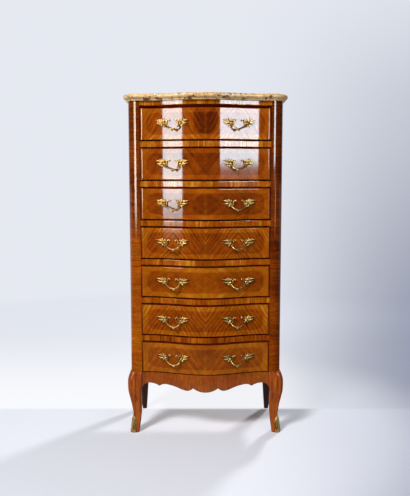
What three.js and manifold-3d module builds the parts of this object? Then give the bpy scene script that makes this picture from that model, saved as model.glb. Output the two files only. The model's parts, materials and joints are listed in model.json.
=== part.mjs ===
// Seven-drawer tall chest (semainier) with a bow front, cabriole front legs, a marble top,
// cast handles and bronze shoes. Millimetres, +Z up, front faces -Y, floor at z = 0.
import * as THREE from 'three';
import { mergeVertices } from 'three/addons/utils/BufferGeometryUtils.js';
import Module from 'manifold-3d';

const wasm = await Module();
wasm.setup();

// Driving sizes of the whole chest
const drawerCount = 7;
const caseWidth = 627;
const caseDepth = 302;
const legHeight = 262;
const openingHeight = 132;
const railHeight = 27;
const topRailHeight = 26;
const bowDepth = 50;
const bowHalfWidth = 250;
const bowSteps = 8;

// Joints between glued pieces, and the extra length that a cut needs to pass right through
const jointGap = 0.3;
const overrun = 5;

// Marble slab
const marbleThickness = 26;
const marbleOverhang = 20;
const marbleCornerSteps = 5;

// Corner posts, rails and panels
const postWidth = 49;
const postArcSteps = 8;
const rearPostDepth = 34;
const railEdge = 2;
const panelThickness = 16;
const panelRecess = 2;
const boardThickness = 12;
const backThickness = 8;
const backRecess = 3;
const apronThickness = 22;
const apronDrop = 73;
const sideApronDrop = 52;
const boardClearance = 1;

// Drawer runners, fixed to the side panels
const runnerThickness = 14;
const runnerReach = 20;
const guideHeight = 22;
const stopLength = 24;
const stopDepth = 10;
const stopHeight = 6;

// Drawers
const drawerGap = 2;
const frontThickness = 22;
const frontProud = 4;
const bevelWidth = 6;
const bevelDepth = 4;
const sideThickness = 10;
const sideInset = 0.5;
const sideHeight = 112;
const slideGap = 0.3;
const bottomThickness = 6;
const bottomRise = 10;
const grooveDepth = 5;
const rearClearance = 12;
const tailCount = 3;
const tailLength = 14;

// Cast handles
const handleSpan = 134;
const handleHeight = 55;
const handlePlace = 134;
const handleSeat = 0.6;
const plateThickness = 4;
const gripProud = 27;
const gripRadius = 3.6;
const gripSides = 5;
const gripSteps = 8;
const hookRadius = 2.2;
const hookSides = 4;
const hookSteps = 4;
const knopRadius = 6;
const bossRadius = 8;
const bossProud = 13;
const studRadius = 2.5;
const studSides = 6;
const studExtra = 9;

// Front legs and their bronze shoes
const kneeReach = 12;
const sabotHeight = 68;
const sabotHalfWidth = 15;
const sabotThickness = 3;
const toeReach = 4;

// Leg stations: height, outward reach from the case corner, inward width, as shares of
// legHeight, kneeReach and postWidth
const legShares = [
  [1, 0.02, 1],
  [0.977, 0.3, 1],
  [0.935, 0.64, 1],
  [0.878, 0.94, 1],
  [0.81, 1, 1],
  [0.744, 0.97, 1],
  [0.676, 0.83, 0.93],
  [0.611, 0.53, 0.94],
  [0.542, 0.22, 0.95],
  [0.477, -0.11, 0.953],
  [0.408, -0.35, 0.953],
  [0.351, -0.53, 0.94],
  [0.305, -0.64, 0.93],
  [0.229, -0.55, 0.89],
  [0.137, -0.36, 0.83],
  [0.038, -0.13, 0.745],
  [0, -0.08, 0.725],
];
// Rear leg stations: height, outer inset, inner width, depth, as shares of legHeight,
// postWidth, postWidth and rearPostDepth
const rearLegShares = [
  [0, 0.46, 0.82, 0.53],
  [0.2, 0.3, 0.9, 0.65],
  [0.45, 0.14, 0.98, 0.8],
  [0.7, 0.04, 1, 0.92],
  [1, 0, 1, 1],
];
// Corner roundness of the leg, as shares of its width: outer corner and the other three
const legOuterCornerShare = 0.36;
const legCornerShare = 0.16;
const cornerPoints = 3;

// Marble edge, as shares of the slab's thickness and overhang
const marbleEdgeShares = [
  [0, 0.45],
  [0.15, 0.5],
  [0.3, 0.74],
  [0.48, 0.95],
  [0.68, 1],
  [0.87, 0.92],
  [1, 0.7],
];

// Lower edge of the front apron from the centre outwards: place along half the apron and
// drop, as shares of the apron's half width and of apronDrop
const apronShares = [
  [0, 1],
  [0.048, 0.99],
  [0.106, 0.94],
  [0.16, 0.85],
  [0.193, 0.775],
  [0.22, 0.86],
  [0.255, 0.925],
  [0.285, 0.94],
  [0.325, 0.925],
  [0.38, 0.87],
  [0.438, 0.795],
  [0.506, 0.725],
  [0.574, 0.68],
  [0.633, 0.665],
  [0.682, 0.71],
  [0.719, 0.79],
  [0.75, 0.73],
  [0.8, 0.665],
  [0.852, 0.63],
  [0.895, 0.63],
  [0.94, 0.67],
  [0.976, 0.75],
  [1, 0.82],
];
// Lower edge of a side apron from its middle, as shares of its half length and sideApronDrop
const sideApronShares = [
  [0, 1],
  [0.12, 0.96],
  [0.24, 0.84],
  [0.34, 0.7],
  [0.48, 0.62],
  [0.66, 0.64],
  [0.82, 0.7],
  [0.93, 0.82],
  [1, 0.95],
];

// Leaf cluster of a handle, outer half, as shares of the half span and of the height
const leafShares = [
  [0.33, 0.1],
  [0.47, 0.2],
  [0.53, 0.4],
  [0.62, 0.27],
  [0.74, 0.45],
  [0.77, 0.25],
  [1, 0.27],
  [0.85, 0.08],
  [0.93, -0.05],
  [0.75, -0.1],
  [0.72, -0.28],
  [0.6, -0.17],
  [0.53, -0.36],
  [0.43, -0.21],
  [0.32, -0.24],
];
// Grip, from one cluster to the knop, as shares of the half span, height and gripProud
const gripShares = [
  [0.6, -0.02, 0.2],
  [0.5, -0.13, 0.6],
  [0.34, -0.3, 0.9],
  [0.14, -0.42, 1],
];
const knopDropShare = 0.47;
// C-scroll at the top of the opening, in the same shares
const hookShares = [
  [0.5, 0.06, 0.15],
  [0.4, 0.23, 0.3],
  [0.27, 0.29, 0.42],
  [0.16, 0.2, 0.46],
];
const bossPlaceShare = 0.62;
const bossTopShare = 0.6;

// Dovetails: thickness at the root and at the tip, as shares of one tail's pitch
const tailRootShare = 0.5;
const tailTipShare = 0.72;

// Bronze shoe: leaf outline (height, half width) as shares of sabotHeight and sabotHalfWidth
const sabotLeafShares = [
  [0, 1],
  [0.2, 1.04],
  [0.4, 0.98],
  [0.5, 0.8],
  [0.55, 0.56],
  [0.68, 0.64],
  [0.84, 0.5],
  [0.94, 0.28],
  [1, 0.05],
];
// Shoe stations: height and flare, as shares of sabotHeight and toeReach
const sabotFlareShares = [
  [0, 1],
  [0.09, 0.95],
  [0.2, 0.35],
  [0.45, 0.08],
  [0.75, 0],
  [1, 0],
];

// Levels and planes that follow from the sizes above
const caseTop = legHeight + drawerCount * openingHeight + (drawerCount - 1) * railHeight + topRailHeight;
const totalDepth = caseDepth + bowDepth + marbleOverhang;
const backPlane = totalDepth / 2;
const postPlane = backPlane - caseDepth;
const postBack = postPlane + postWidth;
const halfCase = caseWidth / 2;
const postInner = halfCase - postWidth;
const rearPostFront = backPlane - rearPostDepth;
const panelOuter = halfCase - panelRecess;
const panelInner = panelOuter - panelThickness;
const backPanelFront = backPlane - backRecess - backThickness;
const halfOpening = postInner - jointGap;
const halfFront = postInner - drawerGap;
const halfBox = halfFront - sideInset;
const frontInner = postPlane - frontProud + frontThickness;
const drawerRear = backPanelFront - rearClearance;
const levels = Array.from({ length: drawerCount }, (_, i) =>
  caseTop - topRailHeight - openingHeight - i * (openingHeight + railHeight));

const group = new THREE.Group();

// Adds one named sub-part with a finish of its own
function add(name, geometry, finish) {
  const mesh = new THREE.Mesh(geometry, new THREE.MeshStandardMaterial(finish));
  mesh.name = name;
  group.add(mesh);
}

const rosewood = { color: 0x8f4a1e, roughness: 0.25, metalness: 0 };
const darkRosewood = { color: 0x5e2a14, roughness: 0.3, metalness: 0 };
const oak = { color: 0xb98a58, roughness: 0.7, metalness: 0 };
const marble = { color: 0xd9bf94, roughness: 0.25, metalness: 0 };
const bronze = { color: 0xb08a3c, roughness: 0.35, metalness: 1 };

// Turns every triangle round when a closed surface points inwards
function facingOut(geometry) {
  const place = geometry.getAttribute('position');
  const index = geometry.getIndex().array;
  const [a, b, c] = [new THREE.Vector3(), new THREE.Vector3(), new THREE.Vector3()];
  let volume = 0;
  for (let i = 0; i < index.length; i += 3) {
    a.fromBufferAttribute(place, index[i]);
    b.fromBufferAttribute(place, index[i + 1]);
    c.fromBufferAttribute(place, index[i + 2]);
    volume += a.dot(b.cross(c));
  }
  if (volume < 0) {
    for (let i = 0; i < index.length; i += 3) {
      [index[i], index[i + 1]] = [index[i + 1], index[i]];
    }
  }
  geometry.computeVertexNormals();
  return geometry;
}

// Triangles over one end ring, seen along the axis called flat, wound with the ring's own
// order when along is 1 and against it when along is -1
function capFaces(ring, flat, along) {
  const [p, q] = ['x', 'y', 'z'].filter((axis) => axis !== flat);
  const outline = ring.map((v) => new THREE.Vector2(v[p], v[q]));
  const sense = along * Math.sign(THREE.ShapeUtils.area(outline));
  return THREE.ShapeUtils.triangulateShape(outline, []).map((face) => {
    const faceSense = Math.sign(THREE.ShapeUtils.area(face.map((i) => outline[i])));
    return faceSense === sense ? face : face.toReversed();
  });
}

// Closed skin over a row of rings with as many points each
function loft(rings, flat) {
  const count = rings[0].length;
  const index = [];
  for (let r = 0; r + 1 < rings.length; r += 1) {
    for (let i = 0; i < count; i += 1) {
      const a = r * count + i;
      const b = r * count + (i + 1) % count;
      index.push(a, b, b + count, a, b + count, a + count);
    }
  }
  const lastStart = (rings.length - 1) * count;
  index.push(...capFaces(rings[0], flat, -1).flat());
  index.push(...capFaces(rings.at(-1), flat, 1).flat().map((i) => i + lastStart));
  const geometry = new THREE.BufferGeometry();
  const points = rings.flat().flatMap((v) => v.toArray());
  geometry.setAttribute('position', new THREE.Float32BufferAttribute(points, 3));
  geometry.setIndex(index);
  return facingOut(geometry);
}

// Between a closed geometry and a solid that can be joined and cut
function toSolid(geometry) {
  const bare = geometry.clone();
  bare.deleteAttribute('normal');
  bare.deleteAttribute('uv');
  const merged = mergeVertices(bare);
  return new wasm.Manifold(new wasm.Mesh({
    numProp: 3,
    vertProperties: new Float32Array(merged.getAttribute('position').array),
    triVerts: new Uint32Array(merged.getIndex().array),
  }));
}

function fromSolid(solid) {
  const mesh = solid.getMesh();
  const geometry = new THREE.BufferGeometry();
  geometry.setAttribute('position', new THREE.BufferAttribute(mesh.vertProperties, 3));
  geometry.setIndex(new THREE.BufferAttribute(mesh.triVerts, 1));
  geometry.computeVertexNormals();
  return geometry;
}

function joined(geometries) {
  return geometries.map(toSolid).reduce((whole, piece) => whole.add(piece));
}

// Block between two corners
function block(low, high) {
  const size = high.map((value, i) => value - low[i]);
  const geometry = new THREE.BoxGeometry(...size);
  geometry.translate(...high.map((value, i) => (value + low[i]) / 2));
  return geometry;
}

// Flat outline in plan, standing between two levels
function plate(points, low, high) {
  const shape = new THREE.Shape(points.map(([x, y]) => new THREE.Vector2(x, y)));
  const geometry = new THREE.ExtrudeGeometry(shape, { depth: high - low, bevelEnabled: false });
  return geometry.translate(0, 0, low);
}

// The same piece on the other side of the chest
function mirrored(geometry) {
  const other = geometry.index ? geometry.clone() : mergeVertices(geometry);
  other.scale(-1, 1, 1);
  return facingOut(other);
}

// How far the front stands out before the corner posts at x
function bow(x) {
  const share = Math.min(Math.abs(x) / bowHalfWidth, 1);
  return bowDepth * (1 + Math.cos(Math.PI * share)) / 2;
}

// Places along x, the same ones for every piece that follows the bow, out to a half width
function bowStations(halfWidth) {
  const step = bowHalfWidth / bowSteps;
  const inner = Array.from({ length: 2 * bowSteps + 1 }, (_, i) => (i - bowSteps) * step);
  return [-halfWidth, ...inner.filter((x) => Math.abs(x) < halfWidth - step / bowSteps), halfWidth];
}

// The bow as the flat facets between those stations give it
function facetBow(x) {
  const step = bowHalfWidth / bowSteps;
  const left = Math.floor(x / step) * step;
  return THREE.MathUtils.lerp(bow(left), bow(left + step), (x - left) / step);
}

// Piece that follows the bow: sectionAt gives its (y, z) outline at each station
function alongBow(stations, sectionAt) {
  return loft(stations.map((x) => sectionAt(x).map(([y, z]) => new THREE.Vector3(x, y, z))), 'x');
}

// Rail between the front posts, with small flats on its two front edges
function railGeometry(low, high) {
  return alongBow(bowStations(halfOpening), (x) => {
    const face = postPlane - bow(x);
    return [
      [postBack, low],
      [postBack, high],
      [face + railEdge, high],
      [face, high - railEdge],
      [face, low + railEdge],
      [face + railEdge, low],
    ];
  });
}

// Lapped dovetail on the end of a drawer side, as (y, z) points; slack widens the sockets
function tailPoints(tail, root, low, slack) {
  const pitch = sideHeight / tailCount;
  const middle = low + tail * pitch + pitch / 2;
  const rootHalf = pitch * tailRootShare / 2 + slack;
  const tipHalf = pitch * tailTipShare / 2 + slack;
  const tip = frontInner - tailLength - slack;
  return [
    [root, middle - rootHalf],
    [tip, middle - tipHalf],
    [tip, middle + tipHalf],
    [root, middle + rootHalf],
  ];
}

// Outline in (y, z), standing between two planes across x
function acrossX(points, low, high) {
  return loft([low, high].map((x) => points.map(([y, z]) => new THREE.Vector3(x, y, z))), 'x');
}

// Outline in (x, z), standing between two planes along y
function alongY(points, low, high) {
  return loft([low, high].map((y) => points.map(([x, z]) => new THREE.Vector3(x, y, z))), 'y');
}

const studPlaces = [-1, 1].map((side) => side * bossPlaceShare * handleSpan / 2);

// Curved drawer front with bevelled edges, dovetail sockets and holes for the handle studs
function drawerFront(level) {
  const low = level + drawerGap;
  const high = level + openingHeight - drawerGap;
  const inset = halfFront - bevelWidth;
  const stations = [-halfFront, ...bowStations(inset), halfFront];
  const front = alongBow(stations, (x) => {
    const back = postPlane - bow(x) + frontThickness - frontProud;
    const edge = postPlane - bow(x) - frontProud + bevelDepth;
    const face = Math.abs(x) === halfFront ? edge - jointGap : edge - bevelDepth;
    return [
      [back, low],
      [edge, low],
      [face, low + bevelWidth],
      [face, high - bevelWidth],
      [edge, high],
      [back, high],
    ];
  });
  const cuts = [];
  for (const side of [-1, 1]) {
    const reach = [halfBox - sideThickness - slideGap, halfFront + overrun].map((x) => side * x);
    for (let tail = 0; tail < tailCount; tail += 1) {
      const points = tailPoints(tail, frontInner + overrun, level + slideGap, slideGap);
      cuts.push(acrossX(points, Math.min(...reach), Math.max(...reach)));
    }
    for (const stud of studPlaces) {
      const x = side * handlePlace + stud;
      const radius = studRadius + slideGap;
      const hole = new THREE.CylinderGeometry(radius, radius, 2 * frontThickness + bowDepth, studSides);
      cuts.push(hole.translate(x, postPlane - bow(x), level + openingHeight / 2));
    }
  }
  return fromSolid(cuts.reduce((solid, cut) => solid.subtract(toSolid(cut)), toSolid(front)));
}

// Drawer sides with dovetails and bottom grooves, joined to the back
function drawerBox(level) {
  const low = level + slideGap;
  const high = low + sideHeight;
  const end = frontInner + jointGap;
  const tails = Array.from({ length: tailCount }, (_, tail) => tailPoints(tail, end, low, 0));
  const outline = [[drawerRear, low], [end, low], ...tails.flat(), [end, high], [drawerRear, high]];
  const side = acrossX(outline, halfBox - sideThickness, halfBox);
  const bottomTop = low + bottomRise + bottomThickness + slideGap;
  const back = block([-halfBox, drawerRear - sideThickness, bottomTop], [halfBox, drawerRear, high]);
  const grooveHalf = halfBox - sideThickness + grooveDepth;
  const groove = block(
    [-grooveHalf, frontInner, low + bottomRise - slideGap],
    [grooveHalf, drawerRear + overrun, bottomTop]);
  const sides = joined([side, mirrored(side), back]);
  return fromSolid(sides.subtract(toSolid(groove)));
}

// Thin bottom that slides into the grooves, with its front edge cut to the bow
function drawerBottom(level) {
  const low = level + slideGap + bottomRise;
  const half = halfBox - sideThickness + grooveDepth - slideGap;
  const front = bowStations(half).map((x) => [x, frontInner - bow(x) + jointGap]);
  return plate([...front, [half, drawerRear], [-half, drawerRear]], low, low + bottomThickness);
}

// Round bar with a few flat sides along a row of points
function bar(points, radius, sides, steps) {
  const path = new THREE.CatmullRomCurve3(points.map((point) => new THREE.Vector3(...point)));
  const corners = Array.from({ length: sides }, (_, i) => {
    const angle = 2 * Math.PI * i / sides;
    return new THREE.Vector2(radius * Math.cos(angle), radius * Math.sin(angle));
  });
  return new THREE.ExtrudeGeometry(new THREE.Shape(corners), { steps, extrudePath: path });
}

// Cast handle about the middle of its opening, seen from the front, standing out along -y
function handleCasting() {
  const half = handleSpan / 2;
  const toPoint = ([u, v, w]) => [u * half, -w * gripProud, v * handleHeight];
  const leaf = leafShares.map(([u, v]) => [u * half, v * handleHeight]);
  const cluster = [alongY(leaf, -handleSeat - plateThickness, -handleSeat)];
  cluster.push(bar(hookShares.map(toPoint), hookRadius, hookSides, hookSteps));
  const boss = new THREE.CylinderGeometry(
    bossRadius, bossRadius * bossTopShare, bossProud - handleSeat, studSides);
  cluster.push(boss.translate(studPlaces[1], -(bossProud + handleSeat) / 2, 0));
  const studLength = frontThickness + studExtra + plateThickness;
  const stud = new THREE.CylinderGeometry(studRadius, studRadius, studLength, studSides);
  cluster.push(stud.translate(studPlaces[1], studLength / 2 - plateThickness, 0));
  const left = gripShares.map(([u, v, w]) => toPoint([-u, v, w]));
  const right = gripShares.map(toPoint).reverse();
  const grip = bar([...left, ...right], gripRadius, gripSides, gripSteps);
  const knop = new THREE.SphereGeometry(knopRadius, studSides, studSides / 2);
  knop.translate(0, -gripProud, -knopDropShare * handleHeight);
  return fromSolid(joined([...cluster, ...cluster.map(mirrored), grip, knop]));
}

// The casting laid on the bow of one drawer front
function handleOnFront(casting, place, level) {
  const geometry = casting.clone();
  const points = geometry.getAttribute('position');
  for (let i = 0; i < points.count; i += 1) {
    const x = points.getX(i) + place;
    const y = points.getY(i) + postPlane - frontProud - facetBow(x);
    points.setXYZ(i, x, y, points.getZ(i) + level + openingHeight / 2);
  }
  geometry.computeVertexNormals();
  return geometry;
}

// Rounded section of a front leg at one height, from how far it reaches past the case
// corner and how far in it comes
function legSection(height, outward, inward) {
  const [outer, inner] = [halfCase + outward, halfCase - inward];
  const [front, back] = [postPlane - outward, postPlane + inward];
  const width = outward + inward;
  const corners = [
    [outer, front, 1, -1, legOuterCornerShare],
    [outer, back, 1, 1, legCornerShare],
    [inner, back, -1, 1, legCornerShare],
    [inner, front, -1, -1, legCornerShare],
  ];
  return corners.flatMap(([x, y, sideX, sideY, share], corner) => {
    const radius = share * width;
    const centre = [x - sideX * radius, y - sideY * radius];
    return Array.from({ length: cornerPoints }, (_, i) => {
      const angle = Math.PI / 2 * (corner - 1 + i / (cornerPoints - 1));
      const out = [Math.cos(angle), Math.sin(angle)].map((part) => part * radius);
      return new THREE.Vector3(centre[0] + out[0], centre[1] + out[1], height);
    });
  });
}

// Outward reach and inward width of the leg at a height
function legAt(height) {
  const share = height / legHeight;
  const after = Math.max(1, legShares.findIndex((row) => row[0] <= share));
  const [upper, lower] = [legShares[after - 1], legShares[after]];
  const along = (upper[0] - share) / (upper[0] - lower[0]);
  return [
    THREE.MathUtils.lerp(upper[1], lower[1], along) * kneeReach,
    THREE.MathUtils.lerp(upper[2], lower[2], along) * postWidth,
  ];
}

// Leg skin, let out by a clearance and carried below the floor where it is used as a cutter
function legSkin(clearance, below) {
  return loft(legShares.map(([heightShare, outShare, inShare]) => {
    const height = heightShare === 0 ? -below : heightShare * legHeight - jointGap * heightShare;
    return legSection(height, outShare * kneeReach + clearance, inShare * postWidth + clearance);
  }), 'z');
}

// Bronze shoe: a leaf cut from a thin skin over the outer half of the foot
function sabotGeometry() {
  const skin = loft(sabotFlareShares.map(([heightShare, flareShare]) => {
    const height = heightShare * sabotHeight;
    const [outward, inward] = legAt(height);
    const reach = sabotThickness + flareShare * toeReach;
    return legSection(height, outward + reach, inward + sabotThickness);
  }), 'z');
  const edge = sabotLeafShares.map(([height, width]) => [width * sabotHalfWidth, height * sabotHeight]);
  const outline = [...edge, ...edge.map(([t, z]) => [-t, z]).reverse()];
  const shape = new THREE.Shape(outline.map(([t, z]) => new THREE.Vector2(t, z)));
  const leaf = new THREE.ExtrudeGeometry(shape, { depth: 2 * postWidth, bevelEnabled: false });
  const tangent = new THREE.Vector3(1, 1, 0).normalize();
  const outwards = new THREE.Vector3(1, -1, 0).normalize();
  leaf.applyMatrix4(new THREE.Matrix4().makeBasis(tangent, new THREE.Vector3(0, 0, 1), outwards));
  const [outward, inward] = legAt(0);
  const centre = (inward - outward) / 2;
  leaf.translate(halfCase - centre, postPlane + centre, 0);
  const shell = toSolid(skin).intersect(toSolid(leaf));
  return fromSolid(shell.subtract(toSolid(legSkin(jointGap, overrun))));
}

// Rear post and leg in one, square in section, narrowing to the foot
function rearPost() {
  const rows = [...rearLegShares, [(caseTop - jointGap) / legHeight, 0, 1, 1]];
  return loft(rows.map(([height, outShare, inShare, depthShare]) => {
    const [outer, inner] = [halfCase - outShare * postWidth, halfCase - inShare * postWidth];
    const front = backPlane - depthShare * rearPostDepth;
    const corners = [[outer, front], [outer, backPlane], [inner, backPlane], [inner, front]];
    return corners.map(([x, y]) => new THREE.Vector3(x, y, height * legHeight));
  }), 'z');
}

// Front post, a quarter round in plan
function frontPost() {
  const arc = Array.from({ length: postArcSteps + 1 }, (_, i) => {
    const angle = Math.PI / 2 * (i / postArcSteps - 1);
    return [postInner + postWidth * Math.cos(angle), postBack + postWidth * Math.sin(angle)];
  });
  return plate([[postInner, postBack], ...arc], legHeight, caseTop - jointGap);
}

// Side panel with the drawer runners and guides that are glued to it
function sidePanel() {
  const ledge = halfBox - runnerReach;
  const comb = levels.flatMap((level, i) => {
    const guide = [[panelInner, level + guideHeight], [postInner, level + guideHeight]];
    if (i === drawerCount - 1) {
      return [...guide, [postInner, level + jointGap]];
    }
    const under = level - runnerThickness;
    return [...guide, [postInner, level], [ledge, level], [ledge, under], [panelInner, under]];
  });
  const low = legHeight + jointGap;
  const top = caseTop - jointGap;
  const outline = [[panelOuter, low], [panelOuter, top], [panelInner, top], ...comb];
  return alongY(outline, postBack + jointGap, rearPostFront - jointGap);
}

// Marble slab: its outline runs parallel to the case, its edge is moulded
function marbleGeometry() {
  const step = bowHalfWidth / bowSteps;
  return loft(marbleEdgeShares.map(([heightShare, reachShare]) => {
    const reach = reachShare * marbleOverhang;
    const front = bowStations(bowHalfWidth + step).slice(1, -1).map((x) => {
      const slope = bowDepth * Math.PI / (2 * bowHalfWidth) * Math.sin(Math.PI * x / bowHalfWidth);
      const long = Math.hypot(1, slope);
      return [x + reach * slope / long, postPlane - bow(x) - reach / long];
    });
    const corner = Array.from({ length: marbleCornerSteps + 1 }, (_, i) => {
      const angle = Math.PI / 2 * (i / marbleCornerSteps - 1);
      const radius = postWidth + reach;
      return [postInner + radius * Math.cos(angle), postBack + radius * Math.sin(angle)];
    });
    const right = [...corner, [halfCase + reach, backPlane]];
    const left = right.map(([x, y]) => [-x, y]).reverse();
    const height = caseTop + heightShare * marbleThickness;
    return [...left, ...front, ...right].map(([x, y]) => new THREE.Vector3(x, y, height));
  }), 'z');
}

// Both halves of an edge that is listed from the middle outwards
function bothWays(shares) {
  return [...shares.slice(1).map(([along, drop]) => [-along, drop]).reverse(), ...shares];
}

// Front apron with its cut lower edge, following the bow
function apronGeometry() {
  const top = legHeight - jointGap;
  const edge = bothWays(apronShares);
  return loft(edge.map(([along, drop]) => {
    const x = along * halfOpening;
    const face = postPlane - bow(x);
    const low = legHeight - drop * apronDrop;
    const section = [[face, low], [face + apronThickness, low], [face + apronThickness, top], [face, top]];
    return section.map(([y, z]) => new THREE.Vector3(x, y, z));
  }), 'x');
}

function sideApron() {
  const [front, rear] = [postBack + jointGap, rearPostFront - jointGap];
  const [middle, half] = [(front + rear) / 2, (rear - front) / 2];
  return loft(bothWays(sideApronShares).map(([along, drop]) => {
    const y = middle + along * half;
    const low = legHeight - drop * sideApronDrop;
    const section = [[panelInner, low], [panelOuter, low], [panelOuter, legHeight], [panelInner, legHeight]];
    return section.map(([x, z]) => new THREE.Vector3(x, y, z));
  }), 'y');
}

// Board between the panels, notched round the rear posts, with its own front edge
function boardGeometry(front, low, high) {
  const ear = panelInner - jointGap;
  const right = [
    [ear, postBack + jointGap],
    [ear, rearPostFront - jointGap],
    [halfOpening, rearPostFront - jointGap],
    [halfOpening, backPanelFront - jointGap],
  ];
  const left = right.map(([x, y]) => [-x, y]).reverse();
  return plate([...front, ...right, ...left], low, high);
}

add('marble_top', marbleGeometry(), marble);
add('top_board', boardGeometry([], caseTop - jointGap - boardThickness, caseTop - jointGap), oak);

const boardFront = bowStations(halfOpening).map((x) =>
  [x, postPlane - bow(x) + apronThickness + boardClearance]);
const boardEdge = [[-halfOpening, postBack + jointGap], ...boardFront, [halfOpening, postBack + jointGap]];
add('bottom_board', boardGeometry(boardEdge, legHeight - runnerThickness, legHeight), oak);
add('back_panel', block(
  [-halfOpening, backPanelFront, legHeight - runnerThickness],
  [halfOpening, backPlane - backRecess, caseTop - jointGap]), oak);

const pairs = [
  ['side_panel', sidePanel(), rosewood],
  ['side_apron', sideApron(), rosewood],
  ['front_post', frontPost(), rosewood],
  ['rear_post', rearPost(), darkRosewood],
  ['front_leg', legSkin(0, 0), rosewood],
  ['sabot', sabotGeometry(), bronze],
];
for (const [name, geometry, finish] of pairs) {
  add(`right_${name}`, geometry, finish);
  add(`left_${name}`, mirrored(geometry), finish);
}

add('top_rail', railGeometry(caseTop - topRailHeight, caseTop - jointGap), rosewood);
for (const [i, level] of levels.slice(0, -1).entries()) {
  const outer = halfBox - sideThickness - stopLength;
  const stops = [-1, 1].map((side) => block(
    [side * outer - stopLength / 2, frontInner + jointGap, level - overrun],
    [side * outer + stopLength / 2, frontInner + jointGap + stopDepth, level + stopHeight]));
  const rail = joined([railGeometry(level - railHeight, level), ...stops]);
  add(`rail_${i + 1}`, fromSolid(rail), rosewood);
}
add('apron', apronGeometry(), rosewood);

const casting = handleCasting();
for (const [i, level] of levels.entries()) {
  const name = `drawer_${i + 1}`;
  add(`${name}_front`, drawerFront(level), rosewood);
  add(`${name}_box`, drawerBox(level), oak);
  add(`${name}_bottom`, drawerBottom(level), oak);
  add(`${name}_left_handle`, handleOnFront(casting, -handlePlace, level), bronze);
  add(`${name}_right_handle`, handleOnFront(casting, handlePlace, level), bronze);
}

export default group;
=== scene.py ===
# Looks of a tall seven-drawer chest: quartered rosewood veneer under gloss varnish, a moulded
# marble top, cast and gilded handles and shoes. Metres, +Z up, the front faces -Y.
import json
import math

import bmesh
import bpy
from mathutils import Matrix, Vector

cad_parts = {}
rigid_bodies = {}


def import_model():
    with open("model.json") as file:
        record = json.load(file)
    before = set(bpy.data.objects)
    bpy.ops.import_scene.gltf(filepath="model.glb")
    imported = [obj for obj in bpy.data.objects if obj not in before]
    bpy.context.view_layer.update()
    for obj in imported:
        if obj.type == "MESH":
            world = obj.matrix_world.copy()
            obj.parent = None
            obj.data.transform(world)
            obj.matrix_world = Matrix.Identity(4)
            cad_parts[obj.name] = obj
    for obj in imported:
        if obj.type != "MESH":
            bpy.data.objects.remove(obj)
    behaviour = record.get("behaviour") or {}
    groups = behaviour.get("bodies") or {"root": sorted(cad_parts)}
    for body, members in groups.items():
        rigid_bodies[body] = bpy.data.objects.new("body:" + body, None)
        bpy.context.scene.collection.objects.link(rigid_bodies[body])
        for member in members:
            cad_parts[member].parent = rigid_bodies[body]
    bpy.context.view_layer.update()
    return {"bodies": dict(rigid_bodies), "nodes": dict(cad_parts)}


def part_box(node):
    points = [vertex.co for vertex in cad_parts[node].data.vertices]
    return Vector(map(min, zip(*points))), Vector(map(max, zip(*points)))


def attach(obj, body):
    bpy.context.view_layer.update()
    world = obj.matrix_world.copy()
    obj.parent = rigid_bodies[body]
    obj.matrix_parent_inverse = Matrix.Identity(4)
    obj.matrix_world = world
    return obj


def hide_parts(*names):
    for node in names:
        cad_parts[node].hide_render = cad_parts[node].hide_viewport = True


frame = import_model()
nodes = frame["nodes"]
mm = 0.001

# Places that the frame gives
drawers = range(1, 1 + sum(name.startswith("drawer_") for name in frame["bodies"]))
fronts = {n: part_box(f"drawer_{n}_front") for n in drawers}
frontMiddles = {n: (0, 0, (low.z + high.z) / 2) for n, (low, high) in fronts.items()}
frontHalfHeight = (fronts[1][1].z - fronts[1][0].z) / 2
postLow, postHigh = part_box("right_front_post")
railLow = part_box("rail_1")[0]
apronLow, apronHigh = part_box("apron")
marbleLow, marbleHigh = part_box("marble_top")
postPlane = postLow.y
halfFront = fronts[1][1].x
frontProud = railLow.y - fronts[1][0].y
print("frame loaded:", len(nodes), "nodes,", len(drawers), "drawers")

# The serpentine front, the same for drawers, rails, apron and marble
bowHalfWidth = 250 * mm
bowDepth = postPlane - railLow.y


def bow(x):
    share = min(abs(x) / bowHalfWidth, 1)
    return bowDepth * (1 + math.cos(math.pi * share)) / 2


def spread(low, high, count):
    return [low + (high - low) * i / (count - 1) for i in range(count)]


# Smooth value at t in a table of rows that start with their own t, in rising order
def smoothRow(rows, t):
    last = len(rows) - 1
    i = max(0, min(last - 1, sum(row[0] <= t for row in rows) - 1))
    before, start, end, after = (rows[max(0, min(last, j))] for j in (i - 1, i, i + 1, i + 2))
    width = end[0] - start[0]
    share = max(0, min(1, (t - start[0]) / width))
    values = []
    for a, b, c, d in zip(before[1:], start[1:], end[1:], after[1:]):
        leaving = (c - a) / max(end[0] - before[0], width) * width
        arriving = (d - b) / max(after[0] - start[0], width) * width
        curve = (2 * share ** 3 - 3 * share ** 2 + 1) * b + (3 * share ** 2 - 2 * share ** 3) * c
        values.append(curve + (share ** 3 - 2 * share ** 2 + share) * leaving
                      + (share ** 3 - share ** 2) * arriving)
    return values


# Closed skin over rings that have as many points each
def skin(rings, capped=True):
    count = len(rings[0])
    points = [point for ring in rings for point in ring]
    faces = []
    for r in range(len(rings) - 1):
        for i in range(count):
            a, b = r * count + i, r * count + (i + 1) % count
            faces.append((a, b, b + count, a + count))
    if capped:
        faces.append(tuple(range(count)))
        faces.append(tuple(range(len(points) - count, len(points))))
    return points, faces


# Several shapes as one
def merged(shapes):
    points, faces = [], []
    for shapePoints, shapeFaces in shapes:
        start = len(points)
        points += shapePoints
        faces += [tuple(i + start for i in face) for face in shapeFaces]
    return points, faces


def mirrored(shape):
    points, faces = shape
    return [(-x, y, z) for x, y, z in points], faces


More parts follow.
